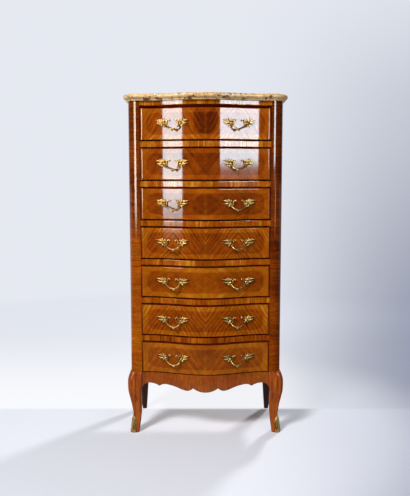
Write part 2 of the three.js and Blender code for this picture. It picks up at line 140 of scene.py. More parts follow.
def makeMesh(name, shape, materials, sharpAngle=35):
    points, faces = shape
    mesh = bpy.data.meshes.new(name)
    mesh.from_pydata([tuple(point) for point in points], [], faces)
    work = bmesh.new()
    work.from_mesh(mesh)
    bmesh.ops.remove_doubles(work, verts=work.verts, dist=0.002 * mm)
    bmesh.ops.recalc_face_normals(work, faces=work.faces)
    work.to_mesh(mesh)
    work.free()
    mesh.polygons.foreach_set("use_smooth", [True] * len(mesh.polygons))
    mesh.set_sharp_from_angle(angle=math.radians(sharpAngle))
    for material in materials:
        mesh.materials.append(material)
    return mesh


def addPiece(name, mesh, body, replaced=(), place=(0, 0, 0)):
    piece = bpy.data.objects.new(name, mesh)
    bpy.context.scene.collection.objects.link(piece)
    piece.location = place
    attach(piece, body)
    if replaced:
        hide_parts(*replaced)
    return piece


# Rounded block between two corners, with its edges eased by a radius
def easedBlock(low, high, radius):
    work = bmesh.new()
    bmesh.ops.create_cube(work, size=1)
    size = [h - l for l, h in zip(low, high)]
    middle = [(h + l) / 2 for l, h in zip(low, high)]
    for vert in work.verts:
        vert.co = Vector(m + c * s for m, c, s in zip(middle, vert.co, size))
    bmesh.ops.bevel(work, geom=work.edges[:], offset=radius, segments=2, profile=0.5, affect="EDGES")
    work.verts.index_update()
    shape = [tuple(v.co) for v in work.verts], [tuple(v.index for v in f.verts) for f in work.faces]
    work.free()
    return shape


# Bar along a row of points, with a radius at each; section gives a factor for that radius from
# the share of the way along and the angle round the bar
def tube(path, radii, sides, section=None):
    path = [Vector(point) for point in path]
    rings = []
    across = None
    for i, point in enumerate(path):
        ahead = path[min(i + 1, len(path) - 1)] - path[max(i - 1, 0)]
        ahead.normalize()
        if across is None:
            across = ahead.orthogonal()
        across = (across - across.dot(ahead) * ahead).normalized()
        up = ahead.cross(across)
        ring = []
        for k in range(sides):
            angle = 2 * math.pi * k / sides
            reach = radii[i] * (section(i / (len(path) - 1), angle) if section else 1)
            ring.append(tuple(point + reach * (math.cos(angle) * across + math.sin(angle) * up)))
        rings.append(ring)
    return skin(rings)


# Turned shape about an axis through a point: profile rows are (along the axis, radius)
def turned(profile, centre, axis, sides, section=None):
    axis = Vector(axis).normalized()
    path = [Vector(centre) + axis * along for along, _ in profile]
    return tube(path, [radius for _, radius in profile], sides, section)


# Smooth curve through a few points, each a tuple of any length
def curveThrough(points, count):
    rows = [(i, *point) for i, point in enumerate(points)]
    return [smoothRow(rows, t) for t in spread(0, len(points) - 1, count)]


def toLinear(colour):
    channels = [int(colour[i:i + 2], 16) / 255 for i in (1, 3, 5)]
    return [c / 12.92 if c <= 0.04045 else ((c + 0.055) / 1.055) ** 2.4 for c in channels] + [1]


# Adds one node: an operation or a dictionary of settings, then its inputs in order or by name,
# each a constant, a socket or a node
def addNode(tree, kind, settings=None, inputs=()):
    node = tree.nodes.new("ShaderNode" + kind)
    if isinstance(settings, str):
        settings = {"operation": settings}
    for key, value in (settings or {}).items():
        if key == "stops":
            ramp = node.color_ramp
            while len(ramp.elements) < len(value):
                ramp.elements.new(1)
            for element, (place, colour) in zip(ramp.elements, value):
                element.position = place
                element.color = toLinear(colour)
        else:
            setattr(node, key, value)
    for key, value in inputs.items() if isinstance(inputs, dict) else enumerate(inputs):
        if isinstance(value, bpy.types.Node):
            value = value.outputs[0]
        if isinstance(value, bpy.types.NodeSocket):
            tree.links.new(value, node.inputs[key])
        else:
            node.inputs[key].default_value = value
    return node


smooth = {"interpolation_type": "SMOOTHSTEP"}  # a map range that eases in and out
colours = {"data_type": "RGBA"}  # a mix of colours: input 0 is the share of input 7 over input 6


# Empty material, with the place in it that patterns start from
def newMaterial(name):
    material = bpy.data.materials.new(name)
    material.use_nodes = True
    tree = material.node_tree
    tree.nodes.clear()
    return material, tree, addNode(tree, "TexCoord").outputs["Object"]


# French-polished gloss: shellac and varnish give a clear hard coat that mirrors the lamps,
# over wood whose own surface scatters more softly
varnish = {
    "film": {"Coat Weight": 1, "Coat Roughness": 0.06, "Coat IOR": 1.36},
    "wood": {"Roughness": 0.5, "Specular IOR Level": 0},  # under the film it has no gloss of its own
    "waveLength": 55 * mm,  # slow unevenness of the hand-rubbed film
    "waveDepth": 0.05 * mm,
    "poreDepth": 0.04 * mm,
}

# Rosewood veneer: striped figure of amber sapwood and near-black veins, cut thin and laid in
# matched leaves, so the eye sees mirrored stripes that change with each leaf
rosewood = {
    "figure": [(0.12, "#561c02"), (0.3, "#783204"), (0.48, "#954405"), (0.68, "#b05c0a"), (0.88, "#d08830")],
    "stripeWidth": 9 * mm,
    "stripeRun": 120 * mm,
    "grainWidth": 2.2 * mm,  # pores are 0.2 mm wide, drawn coarser so that they show
    "grainRun": 45 * mm,
    "patchSize": 125 * mm,
    "swaySize": 75 * mm,
    "sway": 11 * mm,  # how far stripes wander from straight
    "mottleSize": 16 * mm,
    "crisp": 0.56,  # how much the stripes, the grain, the mottle and the patches change the tone
    "grain": 0.36,
    "mottle": 0.34,
    "patches": 0.5,
    "level": -0.02,  # moves the whole tone
    "barEdge": (0.4, 0.95),  # heights of a wave between which a pale bar comes up
    "seamHalf": 1.6 * mm,
    "tintSize": 34 * mm,
    "tints": [(0.36, "#ffeee4"), (0.48, "#ffffff"), (0.62, "#eefcae")],  # redder and greener wood
    "bloom": "#e2b8a0",  # faint milky bloom of old polish
    "bloomShare": 0.002,
}


# sheet says how the leaves lie: lean of the grain from level in degrees, sense of its slope,
# whether leaves mirror about a fold on each side of the middle and about level, and its tones
def rosewoodVeneer(name, sheet):
    material, tree, place = newMaterial(name)
    split = addNode(tree, "SeparateXYZ", inputs=[place])
    side, up = split.outputs[sheet.get("sideAxis", "X")], split.outputs["Z"]
    wide, tall = [addNode(tree, "Math", "ABSOLUTE", [axis]) for axis in (side, up)]
    leafSide, leafUp = side, tall if sheet.get("mirrorUp") else up
    if "fold" in sheet:
        fromFold = addNode(tree, "Math", "SUBTRACT", [wide, sheet["fold"]])
        fromFold = addNode(tree, "Math", "ABSOLUTE", [fromFold])
        leafSide = addNode(tree, "Math", "SUBTRACT", [sheet["fold"], fromFold])
    leaf = addNode(tree, "CombineXYZ", inputs=[leafSide, leafUp, sheet["seed"]])
    turn = math.radians(sheet["lean"])
    sine, cosine = math.sin(turn) * sheet.get("sense", 1), math.cos(turn)
    sway = addNode(tree, "TexNoise", inputs={
        "Vector": leaf, "Scale": 1 / rosewood["swaySize"], "Detail": 1})
    sway = addNode(tree, "Math", "MULTIPLY_ADD", [sway, 2 * rosewood["sway"], -rosewood["sway"]])
    across = addNode(tree, "Math", "MULTIPLY_ADD", [leafUp, cosine, sway])
    across = addNode(tree, "Math", "MULTIPLY_ADD", [leafSide, sine, across])
    along = addNode(tree, "Math", "MULTIPLY", [leafUp, -sine])
    along = addNode(tree, "Math", "MULTIPLY_ADD", [leafSide, cosine, along])
    spot = addNode(tree, "CombineXYZ", inputs=[across, along, 1.7 * sheet["seed"]])
    layers = []
    for width, run, detail in (
            (sheet.get("stripe", rosewood["stripeWidth"]), rosewood["stripeRun"], 2.5),
            (rosewood["grainWidth"], rosewood["grainRun"], 3)):
        stretched = addNode(tree, "VectorMath", "MULTIPLY", [spot, (1 / width, 1 / run, 1)])
        layers.append(addNode(tree, "TexNoise", inputs={
            "Vector": stretched, "Scale": 1, "Detail": detail, "Roughness": 0.55}))
    patches = addNode(tree, "TexNoise", inputs={
        "Vector": leaf, "Scale": 1 / rosewood["patchSize"], "Detail": 1})
    mottle = addNode(tree, "TexNoise", inputs={
        "Vector": place, "Scale": 1 / rosewood["mottleSize"], "Detail": 3, "Roughness": 0.6})
    crisp = sheet.get("crisp", rosewood["crisp"])
    tone = sheet.get("tone", 0) + rosewood["level"] - (crisp + rosewood["mottle"]) / 2
    for layer, weight in ((layers[0], crisp), (mottle, rosewood["mottle"]), (layers[1], rosewood["grain"]),
                          (patches, rosewood["patches"])):
        tone = addNode(tree, "Math", "MULTIPLY_ADD", [layer, weight, tone])
    marks = []
    # a tone that changes with height; on the posts it is painted shade, darker towards the top
    if "fade" in sheet:
        marks.append(addNode(tree, "MapRange", smooth, [up, *sheet["fade"]]))
    if "blocks" in sheet:
        # short lengths laid side by side, each cut from another place
        cell = addNode(tree, "Math", "MULTIPLY_ADD", [leafSide, 1 / sheet["blocks"], patches])
        cell = addNode(tree, "Math", "FLOOR", [cell])
        cell = addNode(tree, "CombineXYZ", inputs=[cell, sheet["seed"]])
        block = addNode(tree, "TexWhiteNoise", {"noise_dimensions": "2D"}, {"Vector": cell})
        marks.append(addNode(tree, "Math", "MULTIPLY", [block, sheet["blockTone"]]))
    if "bars" in sheet:
        # pale even lines that run with the grain
        bar = addNode(tree, "Math", "MULTIPLY", [across, 2 * math.pi / sheet["bars"]])
        bar = addNode(tree, "Math", "SINE", [bar])
        marks.append(addNode(tree, "MapRange", smooth, [bar, *rosewood["barEdge"], 0, sheet["barTone"]]))
    if "heart" in sheet:
        # darker wood where the leaves meet in the middle of a drawer: a wedge, or an oval
        heart = sheet["heart"]
        if "lean" in heart:
            slope = -math.tan(math.radians(heart["lean"]))
            reach = addNode(tree, "Math", "MULTIPLY_ADD", [wide, slope, up])
            capped = addNode(tree, "Math", "SUBTRACT", [heart["top"], up])
            reach = addNode(tree, "Math", "MINIMUM", [reach, capped])
        else:
            flat = addNode(tree, "Math", "MULTIPLY", [wide, heart["tall"] / heart["half"]])
            rise = addNode(tree, "Math", "SUBTRACT", [up, heart["centre"]])
            away = addNode(tree, "CombineXYZ", inputs=[flat, rise])
            away = addNode(tree, "VectorMath", "LENGTH", [away]).outputs["Value"]
            reach = addNode(tree, "Math", "SUBTRACT", [heart["tall"], away])
        marks.append(addNode(tree, "MapRange", smooth, [reach, *heart["edge"], 0, heart["tone"]]))
        marks.append(addNode(tree, "MapRange", inputs=[wide, 0, rosewood["seamHalf"], heart["seam"], 0]))
    if "reserve" in sheet:
        # inner panel with rounded ends, a tone darker than the band that frames it
        reserve = sheet["reserve"]
        beyond = []
        for reach, half in ((wide, reserve["halfWidth"]), (tall, reserve["halfHeight"])):
            over = addNode(tree, "Math", "SUBTRACT", [reach, half - reserve["corner"]])
            beyond.append(addNode(tree, "Math", "MAXIMUM", [over, 0]))
        corner = addNode(tree, "CombineXYZ", inputs=beyond)
        away = addNode(tree, "VectorMath", "LENGTH", [corner]).outputs["Value"]
        edge = [reserve["corner"] - reserve["blur"], reserve["corner"] + reserve["blur"]]
        marks.append(addNode(tree, "MapRange", smooth, [away, *edge, *reserve["tones"]]))
    for mark in marks:
        tone = addNode(tree, "Math", "ADD", [tone, mark])
    colour = addNode(tree, "ValToRGB", {"stops": rosewood["figure"]}, [tone])
    drift = addNode(tree, "TexNoise", inputs={
        "Vector": place, "Scale": 1 / rosewood["tintSize"], "Detail": 3, "Roughness": 0.6})
    drift = addNode(tree, "Math", "ADD", [drift, sheet.get("green", 0)])
    tint = addNode(tree, "ValToRGB", {"stops": rosewood["tints"]}, [drift])
    multiply = {**colours, "blend_type": "MULTIPLY"}
    colour = addNode(tree, "Mix", multiply, {0: 1, 6: colour, 7: tint}).outputs[2]
    bloom = sheet.get("bloom", rosewood["bloomShare"])
    colour = addNode(tree, "Mix", colours, {0: bloom, 6: colour, 7: toLinear(rosewood["bloom"])}).outputs[2]
    wave = addNode(tree, "TexNoise", inputs={
        "Vector": place, "Scale": 1 / varnish["waveLength"], "Detail": 1})
    film = addNode(tree, "Bump", inputs={"Height": wave, "Distance": varnish["waveDepth"]})
    pores = addNode(tree, "Bump", inputs={"Height": layers[1], "Distance": varnish["poreDepth"]})
    shader = addNode(tree, "BsdfPrincipled", inputs={
        **varnish["wood"], **varnish["film"], "Base Color": colour, "Normal": pores, "Coat Normal": film})
    addNode(tree, "OutputMaterial", inputs=[shader])
    return material


# Stained, waxed or bare timber: one grain direction, with fibres and slow bands
def timber(name, wood, grain):
    material, tree, place = newMaterial(name)
    layers = []
    for (width, run), pattern in ((wood["band"], {"Detail": 2, "Distortion": 0.4}),
                                  (wood["fibre"], {"Detail": 3})):
        stretch = [1 / run if axis == grain else 1 / width for axis in "XYZ"]
        stretched = addNode(tree, "Mapping", inputs={0: place, "Scale": stretch})
        layers.append(addNode(tree, "TexNoise", inputs={"Vector": stretched, "Scale": 1, **pattern}))
    bands, fibres = layers
    tone = addNode(tree, "Math", "MULTIPLY_ADD", [fibres, *wood["fibreTone"]])
    tone = addNode(tree, "Math", "ADD", [tone, bands])
    colour = addNode(tree, "ValToRGB", {"stops": wood["tones"]}, [tone])
    bump = addNode(tree, "Bump", inputs={"Height": fibres, "Distance": wood["fibreDepth"]})
    shader = addNode(tree, "BsdfPrincipled", inputs={
        **varnish["film"], **wood["surface"], "Base Color": colour, "Normal": bump})
    addNode(tree, "OutputMaterial", inputs=[shader])
    return material


# Drawer linings and boards: quarter-sawn oak, planed and left bare, pale brown with open pores.
# Bands and fibres are given by their width and run
oak = {
    "tones": [(0.25, "#8c6238"), (0.5, "#b58650"), (0.75, "#cda26c")],
    "surface": {"Roughness": 0.62, "Specular IOR Level": 0.12, "Coat Weight": 0},
    "band": (14 * mm, 260 * mm),
    "fibre": (1.4 * mm, 30 * mm),
    "fibreTone": (0.45, -0.22),
    "fibreDepth": 0.12 * mm,
}
# Rear legs and posts: beech stained to a dark red-brown and wiped with polish
stainedBeech = {
    "tones": [(0.25, "#25100a"), (0.5, "#3c1c10"), (0.75, "#55290f")],
    "surface": {"Roughness": 0.4, "Specular IOR Level": 0.05, "Coat Weight": 0.5},
    "band": (18 * mm, 300 * mm),
    "fibre": (1.6 * mm, 9 * mm),
    "fibreTone": (0.45, -0.22),
    "fibreDepth": 0.04 * mm,
}
# Front legs: shaped from the solid, stained to the veneer and polished, long vertical grain
solidRosewood = {
    "tones": [(0.25, "#702c0e"), (0.5, "#934618"), (0.75, "#aa5b20")],
    "surface": {"Roughness": 0.35, "Specular IOR Level": 0, "Coat Weight": 0.3},
    "band": (9 * mm, 150 * mm),
    "fibre": (1.5 * mm, 35 * mm),
    "fibreTone": (0.45, -0.22),
    "fibreDepth": 0.04 * mm,
}
# Edges of drawers and rails that lie in the gaps between them: painted shade, a dark red-brown without gloss
# that stands in for the shadow in those gaps
paintedGapShade = {
    **solidRosewood,
    "tones": [(0.25, "#3a0e02"), (0.5, "#561a04"), (0.75, "#6c2808")],
    "surface": {"Roughness": 0.6, "Specular IOR Level": 0, "Coat Weight": 0},
}

# Mercury-gilt bronze, cast and chased: warm metal, bright on the burnished heights and brown in the
# hollows, where old wax and dust lie and where shade falls: the hollows are found by ambient occlusion,
# so that darkening is partly painted shade. Ranges are low, high, and the values at both
gilding = {
    "tones": [(0.36, "#140c04"), (0.68, "#5e5226"), (1, "#b29258")],  # grime with painted shade, worn bronze, gold
    "crest": (0.47, 0.58, -0.15, 0.45),  # sharpness of an edge, and what it adds to the height
    "openness": (0.3, 0.85, 0, 0.75),  # share of a point's surroundings that is open, and the same
    "hollowReach": 5 * mm,
    "mottleSize": 6 * mm,
    "mottle": 0.4,
    "roughness": (0.3, 1.1, 0.6, 0.38),
    "castGrain": 0.8 * mm,
    "castDepth": 0.05 * mm,
}


def giltBronze():
    material, tree, place = newMaterial("giltBronze")
    mottle = addNode(tree, "TexNoise", inputs={
        "Vector": place, "Scale": 1 / gilding["mottleSize"], "Detail": 3})
    sharpness = addNode(tree, "NewGeometry").outputs["Pointiness"]
    crest = addNode(tree, "MapRange", inputs=[sharpness, *gilding["crest"]])
    # ambient occlusion darkens the hollows: painted shade together with grime
    shelter = addNode(tree, "AmbientOcclusion", {"samples": 8}, {"Distance": gilding["hollowReach"]})
    openness = addNode(tree, "MapRange", inputs=[shelter.outputs["AO"], *gilding["openness"]])
    height = addNode(tree, "Math", "MULTIPLY_ADD", [mottle, gilding["mottle"], openness])
    height = addNode(tree, "Math", "ADD", [height, crest])
    colour = addNode(tree, "ValToRGB", {"stops": gilding["tones"]}, [height])
    rough = addNode(tree, "MapRange", inputs=[height, *gilding["roughness"]])
    grain = addNode(tree, "TexNoise", inputs={
        "Vector": place, "Scale": 1 / gilding["castGrain"], "Detail": 2})
    bump = addNode(tree, "Bump", inputs={"Height": grain, "Distance": gilding["castDepth"]})
    shader = addNode(tree, "BsdfPrincipled", inputs={
        "Metallic": 1, "Base Color": colour, "Roughness": rough, "Normal": bump})
    addNode(tree, "OutputMaterial", inputs=[shader])
    return material


# Breche marble, sawn and polished: clouded cream and ochre paste with broken paler fragments,
# crossed by thin brown veins and flecks. Ranges are low, high, and the values at both
marbleStone = {
    "tones": [(0.34, "#dca055"), (0.46, "#ebbf7e"), (0.58, "#f6d59a"), (0.72, "#e6b088")],
    "vein": "#5f3512",
    "fleck": "#553413",
    "cloudSize": 60 * mm,
    "swirl": 54 * mm,  # how far the clouds are pulled about
    "fragmentSize": 24 * mm,
    "fragmentTones": (0.36, 0.7),
    "fragmentShare": 0.5,  # how far the fragments stand out from the clouds
    "breakSize": 42.857 * mm,  # seams and flecks come and go over this distance
    "fleckBreak": 0.6,  # how much that moves the flecks
    "seamWidths": (0.44, 0.66, 0.004, 0.06),
    "seam": (0.3, 1.2, 0.7, 0),
    "veinRun": 42 * mm,
    "veinWidth": 0.017,
    "veins": (0.1, 1.1, 0.8, 0),
    "fleckSize": 11 * mm,  # flecks of 2 to 8 mm, drawn towards the coarse end so that they show
    "flecks": (0.92, 0.87, 0.9, 0),
    "polish": {"Roughness": 0.28, "IOR": 1.5, "Specular IOR Level": 0.22},
}


def brecheMarble():
    stone = marbleStone
    material, tree, place = newMaterial("brecheMarble")
    warp = addNode(tree, "TexNoise", inputs={
        "Vector": place, "Scale": 1 / stone["cloudSize"], "Detail": 4})
    pull = addNode(tree, "VectorMath", "SCALE", {0: warp.outputs["Color"], "Scale": stone["swirl"]})
    moved = addNode(tree, "VectorMath", "ADD", [place, pull])
    clouds = addNode(tree, "TexNoise", inputs={
        "Vector": moved, "Scale": 1 / stone["cloudSize"], "Detail": 5, "Roughness": 0.65})
    clouded = addNode(tree, "ValToRGB", {"stops": stone["tones"]}, [clouds])
    fragments = addNode(tree, "TexVoronoi", inputs={"Vector": moved, "Scale": 1 / stone["fragmentSize"]})
    pick = addNode(tree, "SeparateXYZ", inputs=[fragments.outputs["Color"]])
    pick = addNode(tree, "MapRange", inputs=[pick, 0, 1, *stone["fragmentTones"]])
    broken = addNode(tree, "ValToRGB", {"stops": stone["tones"]}, [pick])
    colour = addNode(tree, "Mix", colours, {0: stone["fragmentShare"], 6: clouded, 7: broken}).outputs[2]
    breakUp = addNode(tree, "TexNoise", inputs={
        "Vector": place, "Scale": 1 / stone["breakSize"], "Detail": 4})
    # seams round the fragments, then long veins where a slow noise crosses its middle, then flecks
    edges = addNode(tree, "TexVoronoi", {"feature": "DISTANCE_TO_EDGE"}, {
        "Vector": moved, "Scale": 1 / stone["fragmentSize"]})
    reach = addNode(tree, "MapRange", inputs=[breakUp, *stone["seamWidths"]])
    seam = addNode(tree, "Math", "DIVIDE", [edges.outputs["Distance"], reach])
    slow = addNode(tree, "TexNoise", inputs={
        "Vector": moved, "Scale": 1 / stone["veinRun"], "Detail": 6, "Roughness": 0.6})
    ridge = addNode(tree, "Math", "SUBTRACT", [slow, 0.5])
    ridge = addNode(tree, "Math", "ABSOLUTE", [ridge])
    vein = addNode(tree, "Math", "DIVIDE", [ridge, stone["veinWidth"]])
    specks = addNode(tree, "TexNoise", inputs={
        "Vector": place, "Scale": 1 / stone["fleckSize"], "Detail": 4, "Roughness": 0.6})
    fleck = addNode(tree, "Math", "MULTIPLY_ADD", [breakUp, stone["fleckBreak"], specks])
    for name, value, cover in (("vein", seam, "seam"), ("vein", vein, "veins"), ("fleck", fleck, "flecks")):
        share = addNode(tree, "MapRange", smooth, [value, *stone[cover]])
        colour = addNode(tree, "Mix", colours, {0: share, 6: colour, 7: toLinear(stone[name])}).outputs[2]
    shader = addNode(tree, "BsdfPrincipled", inputs={**stone["polish"], "Base Color": colour})
    addNode(tree, "OutputMaterial", inputs=[shader])
    return material


# Iron, forged and long rusted to a dull brown-black: nail heads in the back
rustedIron = {"metal": {"Metallic": 0.8, "Roughness": 0.6}, "spot": 2 * mm,
              "tones": [(0.35, "#2b2521"), (0.65, "#5b4234")]}


def forgedIron():
    material, tree, place = newMaterial("forgedIron")
    rust = addNode(tree, "TexNoise", inputs={
        "Vector": place, "Scale": 1 / rustedIron["spot"], "Detail": 3})
    colour = addNode(tree, "ValToRGB", {"stops": rustedIron["tones"]}, [rust])
    shader = addNode(tree, "BsdfPrincipled", inputs={**rustedIron["metal"], "Base Color": colour})
    addNode(tree, "OutputMaterial", inputs=[shader])
    return material


# How the leaves lie on each drawer front, from the top: a wide V in the middle, or a lozenge
chevron = {"lean": 56, "sense": -1, "fold": 131 * mm}
lozenge = {"lean": 38, "fold": 215 * mm, "mirrorUp": True}
inner = {"halfWidth": 238 * mm, "halfHeight": 43 * mm, "corner": 34 * mm, "blur": 3 * mm,
         "tones": (-0.05, 0.13)}
wedge = {"lean": 54, "top": 34 * mm, "edge": (-50 * mm, -42 * mm), "tone": -0.16, "seam": 0.1}
oval = {"half": 58 * mm, "tall": 44 * mm, "centre": -4 * mm, "edge": (-4 * mm, 10 * mm),
        "tone": -0.12, "seam": 0.05}
fan = {"half": 50 * mm, "tall": 62 * mm, "centre": 20 * mm, "edge": (-3 * mm, 4 * mm),
       "tone": -0.22, "seam": 0.2}
sheets = {
    1: {**chevron, "seed": 3.1, "tone": 0.04, "heart": fan, "crisp": 0.7, "green": -0.03},
    2: {**chevron, "seed": 7.4, "tone": -0.08, "heart": {**wedge, "tone": -0.08}, "crisp": 0.4,
        "green": -0.04},
    3: {**lozenge, "seed": 5.2, "tone": 0.07, "heart": oval, "crisp": 0.34},
    4: {**chevron, "seed": 9.8, "tone": 0.07, "heart": {**wedge, "top": 18 * mm, "tone": -0.06},
        "bars": 13 * mm, "barTone": 0.13},
    5: {**lozenge, "seed": 2.6, "tone": 0.07, "heart": {**oval, "tone": 0.04}, "crisp": 0.26,
        "green": 0.06},
    6: {**chevron, "seed": 12.3, "tone": 0.06, "heart": {**wedge, "tone": -0.02}, "crisp": 0.4,
        "bars": 15 * mm, "barTone": 0.15, "green": 0.02},
    7: {**chevron, "seed": 15.7, "tone": 0.07, "heart": {**wedge, "tone": -0.03}, "crisp": 0.4,
        "green": 0.1, "bloom": 0.01},
}
railSheet = {"lean": 90, "stripe": 6 * mm, "crisp": 0.9, "blocks": 22 * mm, "blockTone": 0.24}
# each rail has its own tone, and the lower rails are darker as painted shade
railTonesAndShade = [0.12, 0.14, 0.11, 0.06, 0.08, 0.03, -0.06]  # the rail under the marble comes first
apronSheet = {"lean": 90, "seed": 27, "stripe": 7 * mm, "tone": 0.03, "bloom": 0.02}
# Post tones are painted light and shade: the left post is lighter and the right darker, and both darken
# towards the top
postSheets = {  # fade gives two heights and how the tone changes from one to the other
    "left": {"seed": 33, "tone": 0.12, "fade": (0.8, 0.98, 0, -0.26)},
    "right": {"seed": 37, "tone": -0.06, "fade": (0.45, 0.9, 0, -0.14)},
}
sideSheet = {**lozenge, "sideAxis": "Y", "lean": 52, "mirrorUp": False, "seed": 41, "stripe": 14 * mm}

frontVeneers = {n: rosewoodVeneer(f"drawerVeneer{n}", {**sheets[n], "reserve": inner}) for n in drawers}
railVeneers = [rosewoodVeneer(f"railVeneer{n}", {**railSheet, "seed": 21 + n, "tone": tone})
               for n, tone in enumerate(railTonesAndShade)]
apronVeneer = rosewoodVeneer("apronVeneer", apronSheet)
postVeneers = {side: rosewoodVeneer(f"{side}PostVeneer", {
    "lean": 0, "stripe": 5 * mm, "crisp": 0.8, **sheet}) for side, sheet in postSheets.items()}
sideVeneer = rosewoodVeneer("sideVeneer", sideSheet)
legWood = timber("solidRosewood", solidRosewood, "Z")
beechWood = timber("stainedBeech", stainedBeech, "Z")
paintedGapShadeWood = timber("paintedGapShade", paintedGapShade, "X")
oakAlong = {axis: timber(f"oak{axis}", oak, axis) for axis in "XYZ"}
bronze = giltBronze()
marble = brecheMarble()
iron = forgedIron()
print("materials made:", len(bpy.data.materials))


# Drawer fronts: bowed, with edges that fall away all round and sockets for the dovetails
front = {
    "thickness": 22 * mm,
    "reach": 1 * mm,  # past the ends of the plain front, so that the gap beside it is a thin line
    "edge": [  # inset at the ends, above and below, and depth, mm
        (0, 0, 0, 9), (0.5, 0.4, 0.4, 8.2), (5.0, 2.9, 1.9, 1.9), (6.0, 3.3, 2.3, 1.2), (9.8, 4.1, 3.1, 0.1),
        (10.6, 4.9, 3.9, 0), (11.6, 5.9, 4.9, 0)],
    "recessed": (1.3 * mm, 9.5 * mm),  # depths between which the edge counts as recessed; where it faces up or down it is painted dark as shade
    "rearFacing": 0.5,  # from here a face counts as the bare back, or as a side
    "sideFacing": -0.2,
    "stations": 81,
    "tails": 3,
    "tailLength": 14 * mm,
    "tailRoot": 0.5,  # shares of a tail's pitch
    "tailTip": 0.72,
    "sideThickness": 10 * mm,
    "sideHeight": 112 * mm,
    "slack": 0.3 * mm,
    "gap": 2 * mm,
    "rearOverrun": 1 * mm,  # how far the cut for a socket passes the back and the end
    "endOverrun": 5 * mm,
}


def frontFace(x):
    return postPlane - frontProud - bow(x)


def frontShape():
    rings = []
    rows = [(0, 0, 0, front["thickness"])] + [[value * mm for value in row] for row in front["edge"]]
    for atEnds, above, below, depth in rows:
        across = [(halfFront + front["reach"] - atEnds) * s for s in spread(-1, 1, front["stations"])]
        low = [(x, frontFace(x) + depth, below - frontHalfHeight) for x in across]
        high = [(x, frontFace(x) + depth, frontHalfHeight - above) for x in reversed(across)]
        rings.append(low + high)
    points, faces = skin(rings, capped=False)
    last = 2 * front["stations"] - 1
    for start in (0, len(points) - last - 1):
        for i in range(front["stations"] - 1):
            faces.append((start + i, start + i + 1, start + last - i - 1, start + last - i))
    return points, faces


def socketShapes():
    inside = postPlane - frontProud + front["thickness"]
    end = inside - front["tailLength"] - front["slack"]
    mouth = inside + front["rearOverrun"]
    bottom = front["slack"] - frontHalfHeight - front["gap"]
    pitch = front["sideHeight"] / front["tails"]
    root, tip = [pitch * front[share] / 2 + front["slack"] for share in ("tailRoot", "tailTip")]
    shapes = []
    for side in (-1, 1):
        reach = [side * (halfFront - front["sideThickness"] - 2 * front["slack"]),
                 side * (halfFront + front["endOverrun"])]
        for tail in range(front["tails"]):
            middle = bottom + pitch * (tail + 0.5)
            outline = [(mouth, -root), (end, -tip), (end, tip), (mouth, root)]
            shapes.append(skin([[(x, y, middle + z) for y, z in outline] for x in reach]))
    return shapes


def cutAway(mesh, shapes):
    body = bpy.data.objects.new("cutBody", mesh)
    tool = bpy.data.objects.new("cutTool", makeMesh("cutTool", merged(shapes), []))
    for item in (body, tool):
        bpy.context.scene.collection.objects.link(item)
    cut = body.modifiers.new("cut", "BOOLEAN")
    cut.object = tool
    cut.solver = "EXACT"
    bpy.context.view_layer.update()
    result = bpy.data.meshes.new_from_object(body.evaluated_get(bpy.context.evaluated_depsgraph_get()))
    for item in (body, tool):
        bpy.data.objects.remove(item)
    return result


def makeFronts():
    whole = cutAway(makeMesh("drawerFront", frontShape(), []), socketShapes())
    shallow, deep = front["recessed"]
    for n in drawers:
        mesh = whole.copy()
        mesh.materials.clear()
        for material in (frontVeneers[n], legWood, oakAlong["X"], paintedGapShadeWood):
            mesh.materials.append(material)
        for face in mesh.polygons:
            facing = face.normal
            recessed = shallow < face.center.y - frontFace(face.center.x) < deep
            face.material_index = 0
            if facing.y > front["rearFacing"]:
                face.material_index = 2
            # recessed edges that face up or down into the gaps get the painted shade
            elif recessed and abs(facing.z) > abs(facing.x):
                face.material_index = 3
            elif recessed or facing.y > front["sideFacing"]:
                face.material_index = 1
        addPiece(f"drawerFront{n}", mesh, f"drawer_{n}", [f"drawer_{n}_front"],
                 frontMiddles[n])


makeFronts()
print("drawer fronts made")


# Rails between the drawers, with their front edges cut back, and the stops behind them
rail = {
    "edge": [(0, 8), (0.4, 7.4), (2.1, 0.9), (2.5, 0.1), (3.3, 0), (4.3, 0)],  # inset and depth, mm
    "topRailShares": (0.25, 3.4),  # the top rail's upper and lower edges, as shares of the others'
    "recessed": 0.5 * mm,  # depth from which the edge is painted dark as shade
    "stations": 81,
    "stop": (24 * mm, 10 * mm, 6 * mm),  # length, depth, height
    "stopInset": 34.5 * mm,  # from the end of a drawer front
    "stopBehind": 0.3 * mm,
    "stopRoot": 3 * mm,  # how far a stop is let into its rail
    "stopEase": 0.6 * mm,
}


def railShape(low, high, upper=1, lower=1):
    half = apronHigh.x
    rings = []
    for x in spread(-half, half, rail["stations"]):
        face = postPlane - bow(x)
        ring = [(x, postHigh.y, low), (x, postHigh.y, high)]
        ring += [(x, face + depth * mm * upper, high - inset * mm * upper) for inset, depth in rail["edge"]]
        ring += [(x, face + depth * mm, low + inset * mm * lower) for inset, depth in reversed(rail["edge"])]
        rings.append(ring)
    return skin(rings)


def addRail(piece, node, shape, veneer):
    mesh = makeMesh(piece, shape, [veneer, paintedGapShadeWood])
    for face in mesh.polygons:
        depth = face.center.y - postPlane + bow(face.center.x)
        # recessed edges get the painted shade of the gaps
        face.material_index = int(depth > rail["recessed"])
    addPiece(piece, mesh, "case", [node])


